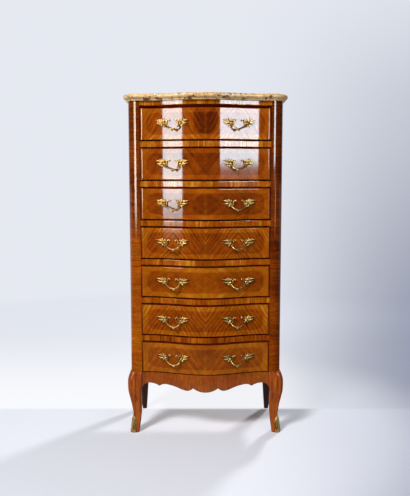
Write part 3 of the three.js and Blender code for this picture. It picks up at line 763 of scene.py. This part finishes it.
def makeRails():
    length, depth, height = rail["stop"]
    behind = postPlane - frontProud + front["thickness"] + rail["stopBehind"]
    for n in drawers[:-1]:
        level = fronts[n][0].z - front["gap"]
        stops = []
        for side in (-1, 1):
            x = side * (halfFront - rail["stopInset"])
            stops.append(easedBlock((x - length / 2, behind, level - rail["stopRoot"]),
                                    (x + length / 2, behind + depth, level + height), rail["stopEase"]))
        plain = railShape(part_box(f"rail_{n}")[0].z, level)
        addRail(f"rail{n}", f"rail_{n}", merged([plain, *stops]), railVeneers[n])
    low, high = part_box("top_rail")
    addRail("topRail", "top_rail", railShape(low.z, high.z, *rail["topRailShares"]), railVeneers[0])


makeRails()
print("rails made")


# Front posts, rounded in plan beyond a narrow flat, veneered across their height
post = {"arcSteps": 28, "flat": 5.5 * mm, "ease": 0.8 * mm}


def makePosts():
    ease = post["ease"]
    radius = postHigh.x - postLow.x - post["flat"]
    outline = [(postLow.x, postHigh.y), (postLow.x, postLow.y + ease), (postLow.x + ease, postLow.y)]
    for angle in spread(-math.pi / 2, 0, post["arcSteps"]):
        outline.append((postHigh.x + radius * (math.cos(angle) - 1),
                        postLow.y + radius * (math.sin(angle) + 1)))
    outline.append((postHigh.x, postHigh.y))
    right = skin([[(x, y, z) for x, y in outline] for z in (postLow.z, postHigh.z)])
    for side, shape in (("right", right), ("left", mirrored(right))):
        mesh = makeMesh(f"{side}Post", shape, [postVeneers[side]])
        addPiece(f"{side}Post", mesh, "case", [f"{side}_front_post"])


makePosts()


# Apron: its lower edge, from the middle outwards, as shares of its half width and of its drop,
# in stretches that meet in the corners between two scallops
apron = {
    "thickness": 22 * mm,
    "round": 1.6 * mm,
    "roundMiddle": 0.3,  # of the rounding, from both faces
    "edge": [
        [(0, 1), (0.049, 0.99), (0.107, 0.94), (0.162, 0.85), (0.195, 0.775)],
        [(0.195, 0.775), (0.223, 0.86), (0.258, 0.925), (0.288, 0.94), (0.329, 0.925), (0.384, 0.87),
         (0.443, 0.795), (0.512, 0.725), (0.581, 0.68), (0.64, 0.665), (0.69, 0.71), (0.727, 0.79)],
        [(0.727, 0.79), (0.759, 0.73), (0.809, 0.665), (0.862, 0.63), (0.905, 0.63), (0.949, 0.67),
         (0.98, 0.75), (1, 0.82)],
    ],
    "stepsPerRow": 5,
}


def makeApron():
    half, top, drop = apronHigh.x, apronHigh.z, apronHigh.z - apronLow.z
    edge = []
    for stretch in apron["edge"]:
        count = (len(stretch) - 1) * apron["stepsPerRow"] + 1
        for t in spread(stretch[0][0], stretch[-1][0], count):
            edge.append((t, smoothRow(stretch, t)[0]))
    ease, cut = apron["round"], apron["round"] * apron["roundMiddle"]
    rings = []
    for t, fall in [(-t, fall) for t, fall in reversed(edge)] + edge:
        x, low = t * half, top - fall * drop
        face = postPlane - bow(x)
        rear = face + apron["thickness"]
        rings.append([(x, face, top), (x, face, low + ease), (x, face + cut, low + cut),
                      (x, face + ease, low), (x, rear, low), (x, rear, top)])
    mesh = makeMesh("apron", skin(rings), [apronVeneer])
    addPiece("frontApron", mesh, "case", ["apron"])


makeApron()
print("posts and apron made")


# Front legs: height, outward reach from the case corner and inward width, as shares of the
# leg's height, of the knee's reach and of the post's width
leg = {
    "rows": [
        (0, -0.08, 0.683), (0.038, -0.13, 0.702), (0.137, -0.36, 0.779), (0.229, -0.55, 0.837),
        (0.305, -0.64, 0.875), (0.351, -0.53, 0.887), (0.408, -0.35, 0.898), (0.477, -0.11, 0.898),
        (0.542, 0.22, 0.894), (0.611, 0.53, 0.885), (0.676, 0.83, 0.875), (0.744, 0.97, 0.96),
        (0.81, 1, 1), (0.878, 0.94, 1), (0.935, 0.64, 1), (0.977, 0.3, 1), (1, 0.02, 1)],
    "kneeReach": 12 * mm,
    "outerCorner": 0.36,  # radius of the outer corner, and of the other three, in widths
    "corner": 0.16,
    "cornerSteps": 7,
    "heightSteps": 64,
    "topGap": 0.3 * mm,
}


def legReach(height):
    outward, inward = smoothRow(leg["rows"], height / postLow.z)
    return outward * leg["kneeReach"], inward * (postHigh.x - postLow.x)


def legSection(height, outward, inward):
    ring = []
    for quarter, (sideX, sideY) in enumerate(((1, -1), (1, 1), (-1, 1), (-1, -1))):
        x = postHigh.x + (outward if sideX > 0 else -inward)
        y = postPlane + (inward if sideY > 0 else -outward)
        radius = (outward + inward) * leg["corner" if quarter else "outerCorner"]
        for i in range(leg["cornerSteps"]):
            angle = math.pi / 2 * (quarter - 1 + i / (leg["cornerSteps"] - 1))
            across, ahead = math.cos(angle) - sideX, math.sin(angle) - sideY
            ring.append((x + radius * across, y + radius * ahead, height))
    return ring


def makeLegs():
    heights = spread(0, postLow.z - leg["topGap"], leg["heightSteps"])
    right = skin([legSection(z, *legReach(z)) for z in heights])
    for side, shape in (("right", right), ("left", mirrored(right))):
        mesh = makeMesh(f"{side}Leg", shape, [legWood], sharpAngle=50)
        addPiece(f"{side}Leg", mesh, "case", [f"{side}_front_leg"])


makeLegs()


# Bronze shoes: a ribbed leaf that wraps the outer corner of the foot over a flared toe.
# Rows are height and half width as shares of the shoe's height and greatest half width
sabot = {
    "leaf": [
        (0, 1.05), (0.12, 1), (0.24, 0.92), (0.4, 0.95), (0.52, 0.84), (0.62, 0.9), (0.76, 0.74), (0.9, 0.46),
        (1, 0.06)],
    "halfWidth": 16 * mm,
    "proud": 3 * mm,
    "rib": 2.8 * mm,  # down the middle, over this share of the half width
    "ribShare": 0.16,
    "sideRib": 2.3 * mm,  # beside it: half waves out to the edge, their slant and their fading
    "sideRibs": 4.4,
    "sideRibSlant": 4,
    "sideRibFade": 0.6,
    "sideRibRise": 3,  # they rise over a third of the half width, and all over a sixth of the height
    "toeRise": 6,
    "toe": [(0, 1.4), (0.05, 2.0), (0.1, 1.6), (0.16, 0.6), (0.24, 0.1), (0.45, 0), (1, 0)],  # mm
    "rows": 40,
    "columns": 49,
    "thickness": 2.2 * mm,
}


# Middle of the leg at a height, and how far its skin is from there at an angle
def legEdge(height, angle):
    outward, inward = legReach(height)
    ring = legSection(height, outward, inward)
    middle = Vector((postHigh.x + (outward - inward) / 2, postPlane + (inward - outward) / 2))
    heading = Vector((math.cos(angle), math.sin(angle)))
    tolerance = 1e-6
    reach = 0
    for point, following in zip(ring, ring[1:] + ring[:1]):
        start = Vector(point[:2]) - middle
        edge = Vector(following[:2]) - middle - start
        turn = heading.cross(edge)
        if turn:
            distance = start.cross(edge) / turn
            share = start.cross(heading) / turn
            if distance > 0 and -tolerance <= share <= 1 + tolerance:
                reach = max(reach, distance)
    return middle, heading, reach


def makeSabots():
    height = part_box("right_sabot")[1].z
    outwards = -math.pi / 4
    points, faces = [], []
    for r, along in enumerate(spread(0, 1, sabot["rows"])):
        z = along * height
        half = smoothRow(sabot["leaf"], along)[0] * sabot["halfWidth"]
        flare = smoothRow(sabot["toe"], along)[0] * mm
        around = half / legEdge(z, outwards)[2]
        for c, across in enumerate(spread(-1, 1, sabot["columns"])):
            middle, heading, reach = legEdge(z, outwards + across * around)
            rib = sabot["rib"] * math.exp(-(across / sabot["ribShare"]) ** 2)
            wave = math.cos(sabot["sideRibs"] * math.pi * abs(across) - sabot["sideRibSlant"] * along)
            sideRib = sabot["sideRib"] * wave * min(1, sabot["sideRibRise"] * abs(across))
            relief = rib + sideRib * (1 - sabot["sideRibFade"] * along)
            out = reach + sabot["proud"] + flare + relief * min(1, sabot["toeRise"] * along)
            spot = middle + heading * out
            points.append((spot.x, spot.y, z))
            if r and c:
                k = len(points) - 1
                faces.append((k, k - 1, k - 1 - sabot["columns"], k - sabot["columns"]))
    for side, shape in (("right", (points, faces)), ("left", mirrored((points, faces)))):
        mesh = makeMesh(f"{side}Sabot", shape, [bronze], sharpAngle=50)
        piece = addPiece(f"{side}Sabot", mesh, "case", [f"{side}_sabot"])
        wall = piece.modifiers.new("wall", "SOLIDIFY")
        wall.thickness = sabot["thickness"]
        wall.offset = -1


makeSabots()
print("legs and shoes made")


# Marble slab: overhang follows the case, the edge is moulded. Rows are height and reach as
# shares of its thickness and overhang
slab = {
    "overhang": 20 * mm,
    "edge": [
        (0, 0.45), (0.04, 0.5), (0.15, 0.52), (0.22, 0.6), (0.34, 0.82), (0.48, 0.95), (0.66, 1),
        (0.84, 0.95), (0.94, 0.86), (1, 0.7)],
    "rows": 22,
    "stations": 73,
    "cornerSteps": 14,
}


def slabOutline(reach):
    bowed = []
    for x in spread(-bowHalfWidth, bowHalfWidth, slab["stations"]):
        slope = bowDepth * math.pi / (2 * bowHalfWidth) * math.sin(math.pi * x / bowHalfWidth)
        long = math.hypot(1, slope)
        bowed.append((x + reach * slope / long, postPlane - bow(x) - reach / long))
    radius = postHigh.x - postLow.x + reach
    right = []
    for i in range(slab["cornerSteps"] + 1):
        angle = math.pi / 2 * (i / slab["cornerSteps"] - 1)
        right.append((postLow.x + radius * math.cos(angle), postHigh.y + radius * math.sin(angle)))
    right.append((postHigh.x + reach, marbleHigh.y))
    return [(-x, y) for x, y in reversed(right)] + bowed + right


def makeMarble():
    rings = []
    for t in spread(0, 1, slab["rows"]):
        z = marbleLow.z + t * (marbleHigh.z - marbleLow.z)
        rings.append([(x, y, z) for x, y in slabOutline(smoothRow(slab["edge"], t)[0] * slab["overhang"])])
    mesh = makeMesh("marbleTop", skin(rings), [marble], sharpAngle=40)
    addPiece("marbleTop", mesh, "case", ["marble_top"])


makeMarble()
print("marble made")


# Cast handles. Places are millimetres from the middle of the opening: outwards, up, proud, and
# on the hook and the grip the radius there
handle = {
    "place": 134 * mm,
    "seat": 0.6,
    "leaves": [  # root, tip, width, bend, rise
        ((34, 3), (69, 15), 6.6, 2.4, 3.5),
        ((36, 1), (65, 5), 5.8, -2.0, 4.0),
        ((32, 5), (43, 24), 6.6, -2.5, 4.5),
        ((28, 7), (31, 19), 5.4, -1.5, 3.5),
        ((35, 5), (56, 19), 5.2, 1.8, 3.0),
        ((33, -3), (43, -14), 6.6, 1.8, 4.5),
        ((36, -2), (55, -6), 5.6, 2.2, 3.5),
        ((28, -6), (30, -15), 5, 1.0, 3.5),
    ],
    "leafRows": 13,
    "leafThickness": 2.2,
    "leafBase": 2.5,  # how proud its spine is before the rise
    "leafArch": (0.2, 0.62),  # start and run of the rise, as shares of half a wave
    "leafStart": 0.14,  # share of half a wave at which its width starts
    "leafEarly": 0.8,
    "leafFullness": 1.1,
    "leafLeast": 0.05,
    "leafSection": [  # share of the half width, and lift above the spine's line
        (-1, -0.8), (-0.62, -0.846), (-0.22, 0.056), (0, 0.9), (0.22, 0.056), (0.62, -0.846), (1, -0.8)],
    "lobes": 3,
    "lobeDepth": 0.2,
    "boss": (32.5, 1),
    "dome": [(0, 7.5), (2, 7.35), (5, 6.45), (8, 4.5), (10, 2.25), (10.6, 0.4)],  # height, radius
    "hook": [(27, -8, 3, 2.6), (23, -3, 5, 2.4), (22.4, 4, 6, 2.1), (21.6, 10, 7, 1.9),
             (17.8, 14.6, 7.5, 1.7), (13, 14.8, 8, 1.6), (11.4, 12, 8, 1.5), (13.4, 10.6, 8, 1.9)],
    "grip": [(30, -5, 4, 3.1), (26, -10, 12, 2.6), (20, -15.5, 19, 2.3), (11, -20.3, 24.5, 2.4),
             (0, -22, 26.5, 3.2)],
    "knopShift": 3.5,  # how far the knop hangs off the middle
    "knopPull": 22,  # the grip bends with it over this reach
    "knopDrop": 2.5,  # below the middle of the grip
    "knop": [(-4.5, 1.2), (-4, 3.2), (-2.6, 4.4), (-1.6, 3.6), (-0.8, 4.8), (1.2, 5.6), (3.2, 4.9),
             (4.8, 3.0), (5.6, 1.0)],
    "stud": (41.5, 2.4),  # place and radius
    "studPast": 7,  # beyond the back of the drawer front, and on this side of its face
    "studInto": 4,
    "sides": {"dome": 48, "hook": 12, "stud": 16, "grip": 18, "knop": 24},
    "hookSteps": 30,
    "gripSteps": 49,
    "domeRibs": (8, 0.08),  # ridges round the shape and their share of its radius
    "knopRibs": (8, 0.05),
    "gripStrands": (3, 0.1),
    "gripTurns": 7,
}


# One cast leaf: a bent spine with a raised rib, turned-up edges and a free tip
def castLeaf(root, tip, width, bend, rise):
    root, tip = Vector(root), Vector(tip)
    heading = (tip - root).normalized()
    across = Vector((-heading.y, heading.x))
    widthStart = handle["leafStart"]
    archStart, archRun = handle["leafArch"]
    rings = []
    for t in spread(0, 1, handle["leafRows"]):
        spine = root.lerp(tip, t) + across * bend * math.sin(math.pi * t)
        lobe = 1 + handle["lobeDepth"] * math.cos(2 * math.pi * handle["lobes"] * t)
        swell = math.sin(math.pi * (widthStart + (1 - widthStart) * t ** handle["leafEarly"]))
        swell = max(handle["leafLeast"], swell) ** handle["leafFullness"]
        crest = handle["leafBase"] + rise * math.sin(math.pi * (archStart + archRun * t))
        top, under = [], []
        for share, lift in handle["leafSection"]:
            spot = spine + across * share * width / 2 * lobe * swell
            out = crest + lift
            top.append((spot.x, spot.y, out))
            under.append((spot.x, spot.y, max(handle["seat"], out - handle["leafThickness"])))
        rings.append(top + list(reversed(under)))
    return skin(rings)


# Factors on a radius, from the share of the way along and the angle
def domeRibs(share, angle):
    count, relief = handle["domeRibs"]
    return 1 + relief * math.cos(count * angle) * (1 - share)


def gripTwist(share, angle):
    count, relief = handle["gripStrands"]
    turn = 2 * math.pi * handle["gripTurns"] * abs(share - 0.5)
    return 1 + relief * math.cos(count * angle + turn)


def knopRibs(share, angle):
    count, relief = handle["knopRibs"]
    return 1 + relief * math.cos(count * angle)


def handleShape(shift):
    sides = handle["sides"]
    shapes = []
    for side in (-1, 1):
        cluster = [castLeaf(*leaf) for leaf in handle["leaves"]]
        boss = (*handle["boss"], handle["seat"])
        cluster.append(turned(handle["dome"], boss, (0, 0, 1), sides["dome"], domeRibs))
        hook = curveThrough(handle["hook"], handle["hookSteps"])
        cluster.append(tube([row[:3] for row in hook], [row[3] for row in hook], sides["hook"]))
        place, radius = handle["stud"]
        ends = (-front["thickness"] / mm - handle["studPast"], handle["studInto"])
        cluster.append(turned([(end, radius) for end in ends], (place, 0, 0), (0, 0, 1), sides["stud"]))
        for points, faces in cluster:
            shapes.append(([(side * u, v, out) for u, v, out in points], faces))
    outer = handle["grip"]
    grip = [(-u, v, out, radius) for u, v, out, radius in outer] + outer[-2::-1]
    grip = curveThrough(grip, handle["gripSteps"])
    path = [(u + shift * math.exp(-(u / handle["knopPull"]) ** 2), v, out) for u, v, out, _ in grip]
    shapes.append(tube(path, [row[3] for row in grip], sides["grip"], gripTwist))
    _, v, out, _ = outer[-1]
    top = (shift, v - handle["knopDrop"], out)
    shapes.append(turned(handle["knop"], top, (0, -1, 0), sides["knop"], knopRibs))
    return merged(shapes)


def makeHandles():
    for side, sign in (("left", -1), ("right", 1)):
        points, faces = handleShape(-sign * handle["knopShift"])
        bent = []
        for u, v, out in points:
            x = sign * handle["place"] + u * mm
            bent.append((x, frontFace(x) - out * mm, v * mm))
        mesh = makeMesh(f"{side}Handle", (bent, faces), [bronze], sharpAngle=55)
        for n in drawers:
            addPiece(f"{side}Handle{n}", mesh, f"drawer_{n}", [f"drawer_{n}_{side}_handle"],
                     frontMiddles[n])


makeHandles()

# Square nuts and washers that hold the handles from inside the drawer
nut = {"half": 4.2 * mm, "height": 3.2 * mm, "ease": 0.4 * mm, "washer": 6 * mm,
       "washerHeight": 0.8 * mm, "gap": 0.3 * mm, "sides": 20}


def makeNuts():
    shapes = []
    half = nut["half"]
    for side in (-1, 1):
        for stud in (-1, 1):
            x = side * handle["place"] + stud * handle["stud"][0] * mm
            y = frontFace(x) + front["thickness"]
            low = y + nut["washerHeight"]
            shapes.append(turned([(0, nut["washer"]), (nut["washerHeight"], nut["washer"])],
                                 (x, y + nut["gap"], 0), (0, 1, 0), nut["sides"]))
            shapes.append(easedBlock((x - half, low, -half), (x + half, low + nut["height"], half),
                                     nut["ease"]))
    mesh = makeMesh("nuts", merged(shapes), [bronze])
    for n in drawers:
        addPiece(f"handleNuts{n}", mesh, f"drawer_{n}", (), frontMiddles[n])


makeNuts()
print("handles made")


# Back: four upright oak boards in place of one, nailed round the edge
back = {"boards": 4, "joint": 0.8 * mm, "ease": 0.8 * mm, "nailRadius": 2.6 * mm, "nailProud": 0.9 * mm,
        "nailInset": 9 * mm, "nailPitch": 92 * mm, "nailShares": (0.2, 0.8),
        "nailSides": 14, "nailHead": [(0, 1), (0.4, 1), (0.8, 0.7), (1, 0.2)]}  # shares of proud and radius


def makeBack():
    low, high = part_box("back_panel")
    edges = spread(low.x, high.x, back["boards"] + 1)
    boards, spots = [], []
    for left, right in zip(edges, edges[1:]):
        boards.append(easedBlock((left + back["joint"] / 2, low.y, low.z),
                                 (right - back["joint"] / 2, high.y, high.z), back["ease"]))
        for z in (low.z + back["nailInset"], high.z - back["nailInset"]):
            spots += [(left + (right - left) * share, z) for share in back["nailShares"]]
    mesh = makeMesh("backBoards", merged(boards), [oakAlong["Z"]])
    addPiece("backBoards", mesh, "case", ["back_panel"])
    rows = int((high.z - low.z) / back["nailPitch"])
    for z in spread(low.z, high.z, rows)[1:-1]:
        spots += [(side * (high.x - back["nailInset"]), z) for side in (-1, 1)]
    head = [(along * back["nailProud"], share * back["nailRadius"]) for along, share in back["nailHead"]]
    nails = [turned(head, (x, high.y, z), (0, 1, 0), back["nailSides"]) for x, z in spots]
    addPiece("backNails", makeMesh("backNails", merged(nails), [iron]), "case")


makeBack()
print("back made")


# CAD nodes whose shape stays: eased edges and a finish each
kept = {"ease": 0.7 * mm, "easeAngle": 40}
finishes = {"top_board": oakAlong["X"], "bottom_board": oakAlong["X"]}
for side in ("left", "right"):
    finishes[f"{side}_side_apron"] = sideVeneer
    finishes[f"{side}_side_panel"] = sideVeneer
    finishes[f"{side}_rear_post"] = beechWood
for n in drawers:
    finishes[f"drawer_{n}_box"] = oakAlong["Y"]
    finishes[f"drawer_{n}_bottom"] = oakAlong["X"]
for name, material in finishes.items():
    node = nodes[name]
    node.data.materials.clear()
    node.data.materials.append(material)
    weld = node.modifiers.new("weld", "WELD")
    weld.merge_threshold = 0.01 * mm
    ease = node.modifiers.new("ease", "BEVEL")
    ease.width = kept["ease"]
    ease.segments = 2
    ease.limit_method = "ANGLE"
    ease.angle_limit = math.radians(kept["easeAngle"])
    ease.harden_normals = True
print("nodes finished:", len(finishes))


# Floor and studio. A range is low, high and the values at both; some start with their axis
studio = {
    "backdrop": "#e6e9f1",
    "shade": "#8d93a7",  # the backdrop's far right
    "shadeRanges": [  # by heading: to the right, low down, not overhead, and away from the camera
        ("X", 0.02, 0.36, 0, 1), ("Z", -0.3, 0.2, 1, 0.4), ("Z", 0.1, 0.3, 1, 0.2), ("Y", 0, 0.5, 0, 1)],
    "centre": (0, -2.75, 1.1),  # the floor's tone runs sideways as seen from this point
    "nearShade": (0.65, 1.25, 0.45, 1),  # close to the chest the floor takes only a share of it
    "glow": "#fbfcff",  # painted light: the paper close behind the chest glows as if lit
    "glowFront": (0.145, 0.18, 0, 0.85),
    "glowRanges": [("Y", 0.18, 1.6, 1, 0), ("X", 0.25, 0.6, 1, 0), ("Y", 0, 0.145, 0, 1)],
    "floorGain": 1.03,  # the floor's paper is this much paler than the backdrop
    "floorPaper": {"Roughness": 0.9, "Specular IOR Level": 0.1},
    "floorHalf": 60,
    "fade": (1.7, 3.4, 0, 1),  # distances between which the floor turns into the backdrop
    "ambient": 0.28,
    "roomInPolish": 0.035,  # the dim room that the varnish mirrors past the softboxes
    "floorBehind": (0.3, 1.5),  # from here back the floor and the backdrop are mirrored in full
    "wallBehind": (0.45, 0.75),
    "floorInShoes": (0.35, 0.7, 0.5, 0),  # level of the floor near the chest that the shoes mirror
    "lampAim": 0.85,
    "lampPower": 4,  # watts for each square metre and each unit of radiance
}
# Middle, size and radiance. Those with a tint only show in polish, the others light the surfaces,
# and the key does both
lamps = {
    "leftSoftbox": {"at": (-3.096, -4.15, 1.725), "size": (0.55, 2.85), "radiance": 22.5,
                    "tint": "#effcff", "soft": (0.12, 0.23)},
    "leftStrip": {"at": (-1.555, -1.43, 1.26), "size": (0.64, 1.25), "radiance": 24,
                  "tint": "#ffe8ca", "soft": (0.06, 0.28)},
    "rightSoftbox": {"at": (1.449, -2.348, 1.78), "size": (0.76, 1.34), "radiance": 26,
                     "tint": "#e6f6ff", "soft": (0.05, 0.08)},
    "rightSkirt": {"at": (1.46, -2.36, 1.1), "size": (0.72, 0.34), "radiance": 3,
                   "tint": "#ffe9e0", "soft": (0.1, 0.6)},
    "rightStrip": {"at": (1.44, -1.43, 0.9), "size": (0.28, 0.56), "radiance": 7,
                   "tint": "#ffe9d6", "soft": (0.2, 0.5)},
    "key": {"at": (-3.3, -5.0, 5.9), "size": (1.5, 1.5), "radiance": 58},
    "fill": {"at": (1.5, -2.6, 2.4), "size": (1.4, 1.4), "radiance": 1.5},
    "rear": {"at": (1.7, 2.6, 2.3), "size": (0.4, 0.4), "radiance": 110},
}
# Lens and place worked out from the lines of the photographed case
view = {"focalPixels": 649.4, "pictureHeight": 496, "sensor": 36, "tilt": 6.41,
        "at": (-0.0022, -2.754, 1.0795)}


# How bright the backdrop and the paper painted as lit count for each kind of ray
def seenLevel(tree, behind):
    rays = addNode(tree, "LightPath").outputs
    direct = addNode(tree, "Math", "MAXIMUM", [rays["Is Camera Ray"], rays["Is Transmission Ray"]])
    glossy = addNode(tree, "Math", "MULTIPLY", [behind, rays["Is Glossy Ray"]])
    seen = addNode(tree, "Math", "MAXIMUM", [direct, glossy])
    either = addNode(tree, "Math", "MAXIMUM", [direct, rays["Is Glossy Ray"]])
    other = addNode(tree, "Math", "SUBTRACT", [1, either])
    return addNode(tree, "Math", "MULTIPLY_ADD", [other, studio["ambient"], seen])


# Share times the value of each range at a place
def withinRanges(tree, parts, ranges, share=1):
    for axis, *edges in ranges:
        level = addNode(tree, "MapRange", smooth, [parts.outputs[axis], *edges])
        share = addNode(tree, "Math", "MULTIPLY", [share, level])
    return share


def backdropTone(tree, heading, strength=1):
    parts = addNode(tree, "SeparateXYZ", inputs=[heading])
    share = withinRanges(tree, parts, studio["shadeRanges"], strength)
    pale, dark = toLinear(studio["backdrop"]), toLinear(studio["shade"])
    return addNode(tree, "Mix", colours, {0: share, 6: pale, 7: dark}).outputs[2]


def makeFloor():
    half = studio["floorHalf"]
    mesh = bpy.data.meshes.new("floor")
    corners = [(-half, -half, 0), (half, -half, 0), (half, half, 0), (-half, half, 0)]
    mesh.from_pydata(corners, [], [(0, 1, 2, 3)])
    material, tree, place = newMaterial("floorPaper")
    parts = addNode(tree, "SeparateXYZ", inputs=[place])
    away = addNode(tree, "VectorMath", "LENGTH", [place]).outputs["Value"]
    heading = addNode(tree, "VectorMath", "SUBTRACT", [place, studio["centre"]])
    heading = addNode(tree, "VectorMath", "NORMALIZE", [heading])
    tone = backdropTone(tree, heading, addNode(tree, "MapRange", smooth, [away, *studio["nearShade"]]))
    pale = addNode(tree, "VectorMath", "SCALE", {0: tone, "Scale": studio["floorGain"]})
    paper = addNode(tree, "BsdfPrincipled", inputs={**studio["floorPaper"], "Base Color": pale})
    # painted light: close behind the chest the paper is mixed towards the glow and shown as emission
    bright = withinRanges(tree, parts, studio["glowRanges"])
    colour = addNode(tree, "Mix", colours, {0: bright, 6: tone, 7: toLinear(studio["glow"])}).outputs[2]
    behind = [parts.outputs["Y"], *studio["floorBehind"], studio["roomInPolish"], 1]
    behind = addNode(tree, "MapRange", smooth, behind)
    inShoes = addNode(tree, "MapRange", smooth, [away, *studio["floorInShoes"]])
    behind = addNode(tree, "Math", "MAXIMUM", [behind, inShoes])
    lit = addNode(tree, "Emission", inputs={"Color": colour, "Strength": seenLevel(tree, behind)})
    blend = addNode(tree, "LightPath").outputs["Is Glossy Ray"]
    for source, edges in ((away, "fade"), (parts.outputs["Y"], "glowFront")):
        edge = addNode(tree, "MapRange", smooth, [source, *studio[edges]])
        blend = addNode(tree, "Math", "MAXIMUM", [blend, edge])
    mixed = addNode(tree, "MixShader", inputs=[blend, paper, lit])
    addNode(tree, "OutputMaterial", inputs=[mixed])
    mesh.materials.append(material)
    floor = bpy.data.objects.new("floor", mesh)
    bpy.context.scene.collection.objects.link(floor)


def makeWorld():
    world = bpy.data.worlds.new("studio")
    bpy.context.scene.world = world
    world.use_nodes = True
    tree = world.node_tree
    tree.nodes.clear()
    heading = addNode(tree, "TexCoord").outputs["Generated"]
    behind = [addNode(tree, "SeparateXYZ", inputs=[heading]).outputs["Y"], *studio["wallBehind"],
              studio["roomInPolish"], 1]
    behind = addNode(tree, "MapRange", smooth, behind)
    background = addNode(tree, "Background", inputs={
        "Color": backdropTone(tree, heading), "Strength": seenLevel(tree, behind)})
    addNode(tree, "OutputWorld", inputs=[background])


# A softbox fades towards its edges: shares of its width and of its height
def softenEdges(light, shares):
    light.use_nodes = True
    tree = light.node_tree
    tree.nodes.clear()
    place = addNode(tree, "NewGeometry").outputs["Parametric"]
    parts = addNode(tree, "SeparateXYZ", inputs=[place])
    ranges = [(axis, end, abs(end - share), 0, 1) for axis, share in enumerate(shares) for end in (0, 1)]
    emission = addNode(tree, "Emission", inputs={"Strength": withinRanges(tree, parts, ranges)})
    addNode(tree, "OutputLight", inputs=[emission])


def makeLamps():
    aim = Vector((0, postPlane, studio["lampAim"]))
    for name, lamp in lamps.items():
        light = bpy.data.lights.new(name, "AREA")
        light.shape = "RECTANGLE"
        light.size, light.size_y = lamp["size"]
        light.energy = studio["lampPower"] * lamp["radiance"] * light.size * light.size_y
        item = bpy.data.objects.new(name, light)
        bpy.context.scene.collection.objects.link(item)
        item.location = lamp["at"]
        heading = aim - item.location
        inPolish = "tint" in lamp
        if inPolish:
            light.color = toLinear(lamp["tint"])[:3]
            softenEdges(light, lamp["soft"])
            heading.z = 0
        item.rotation_euler = heading.to_track_quat("-Z", "Y").to_euler()
        item.visible_camera = False
        item.visible_glossy = inPolish or name == "key"
        item.visible_diffuse = not inPolish


def makeCamera():
    data = bpy.data.cameras.new("camera")
    data.sensor_width = view["sensor"]
    data.lens = view["focalPixels"] * view["sensor"] / view["pictureHeight"]
    item = bpy.data.objects.new("camera", data)
    bpy.context.scene.collection.objects.link(item)
    item.location = view["at"]
    item.rotation_euler = (math.radians(90 - view["tilt"]), 0, 0)
    bpy.context.scene.camera = item


makeFloor()
makeWorld()
makeLamps()
makeCamera()
bpy.context.scene.view_settings.view_transform = "Standard"
print("studio made")
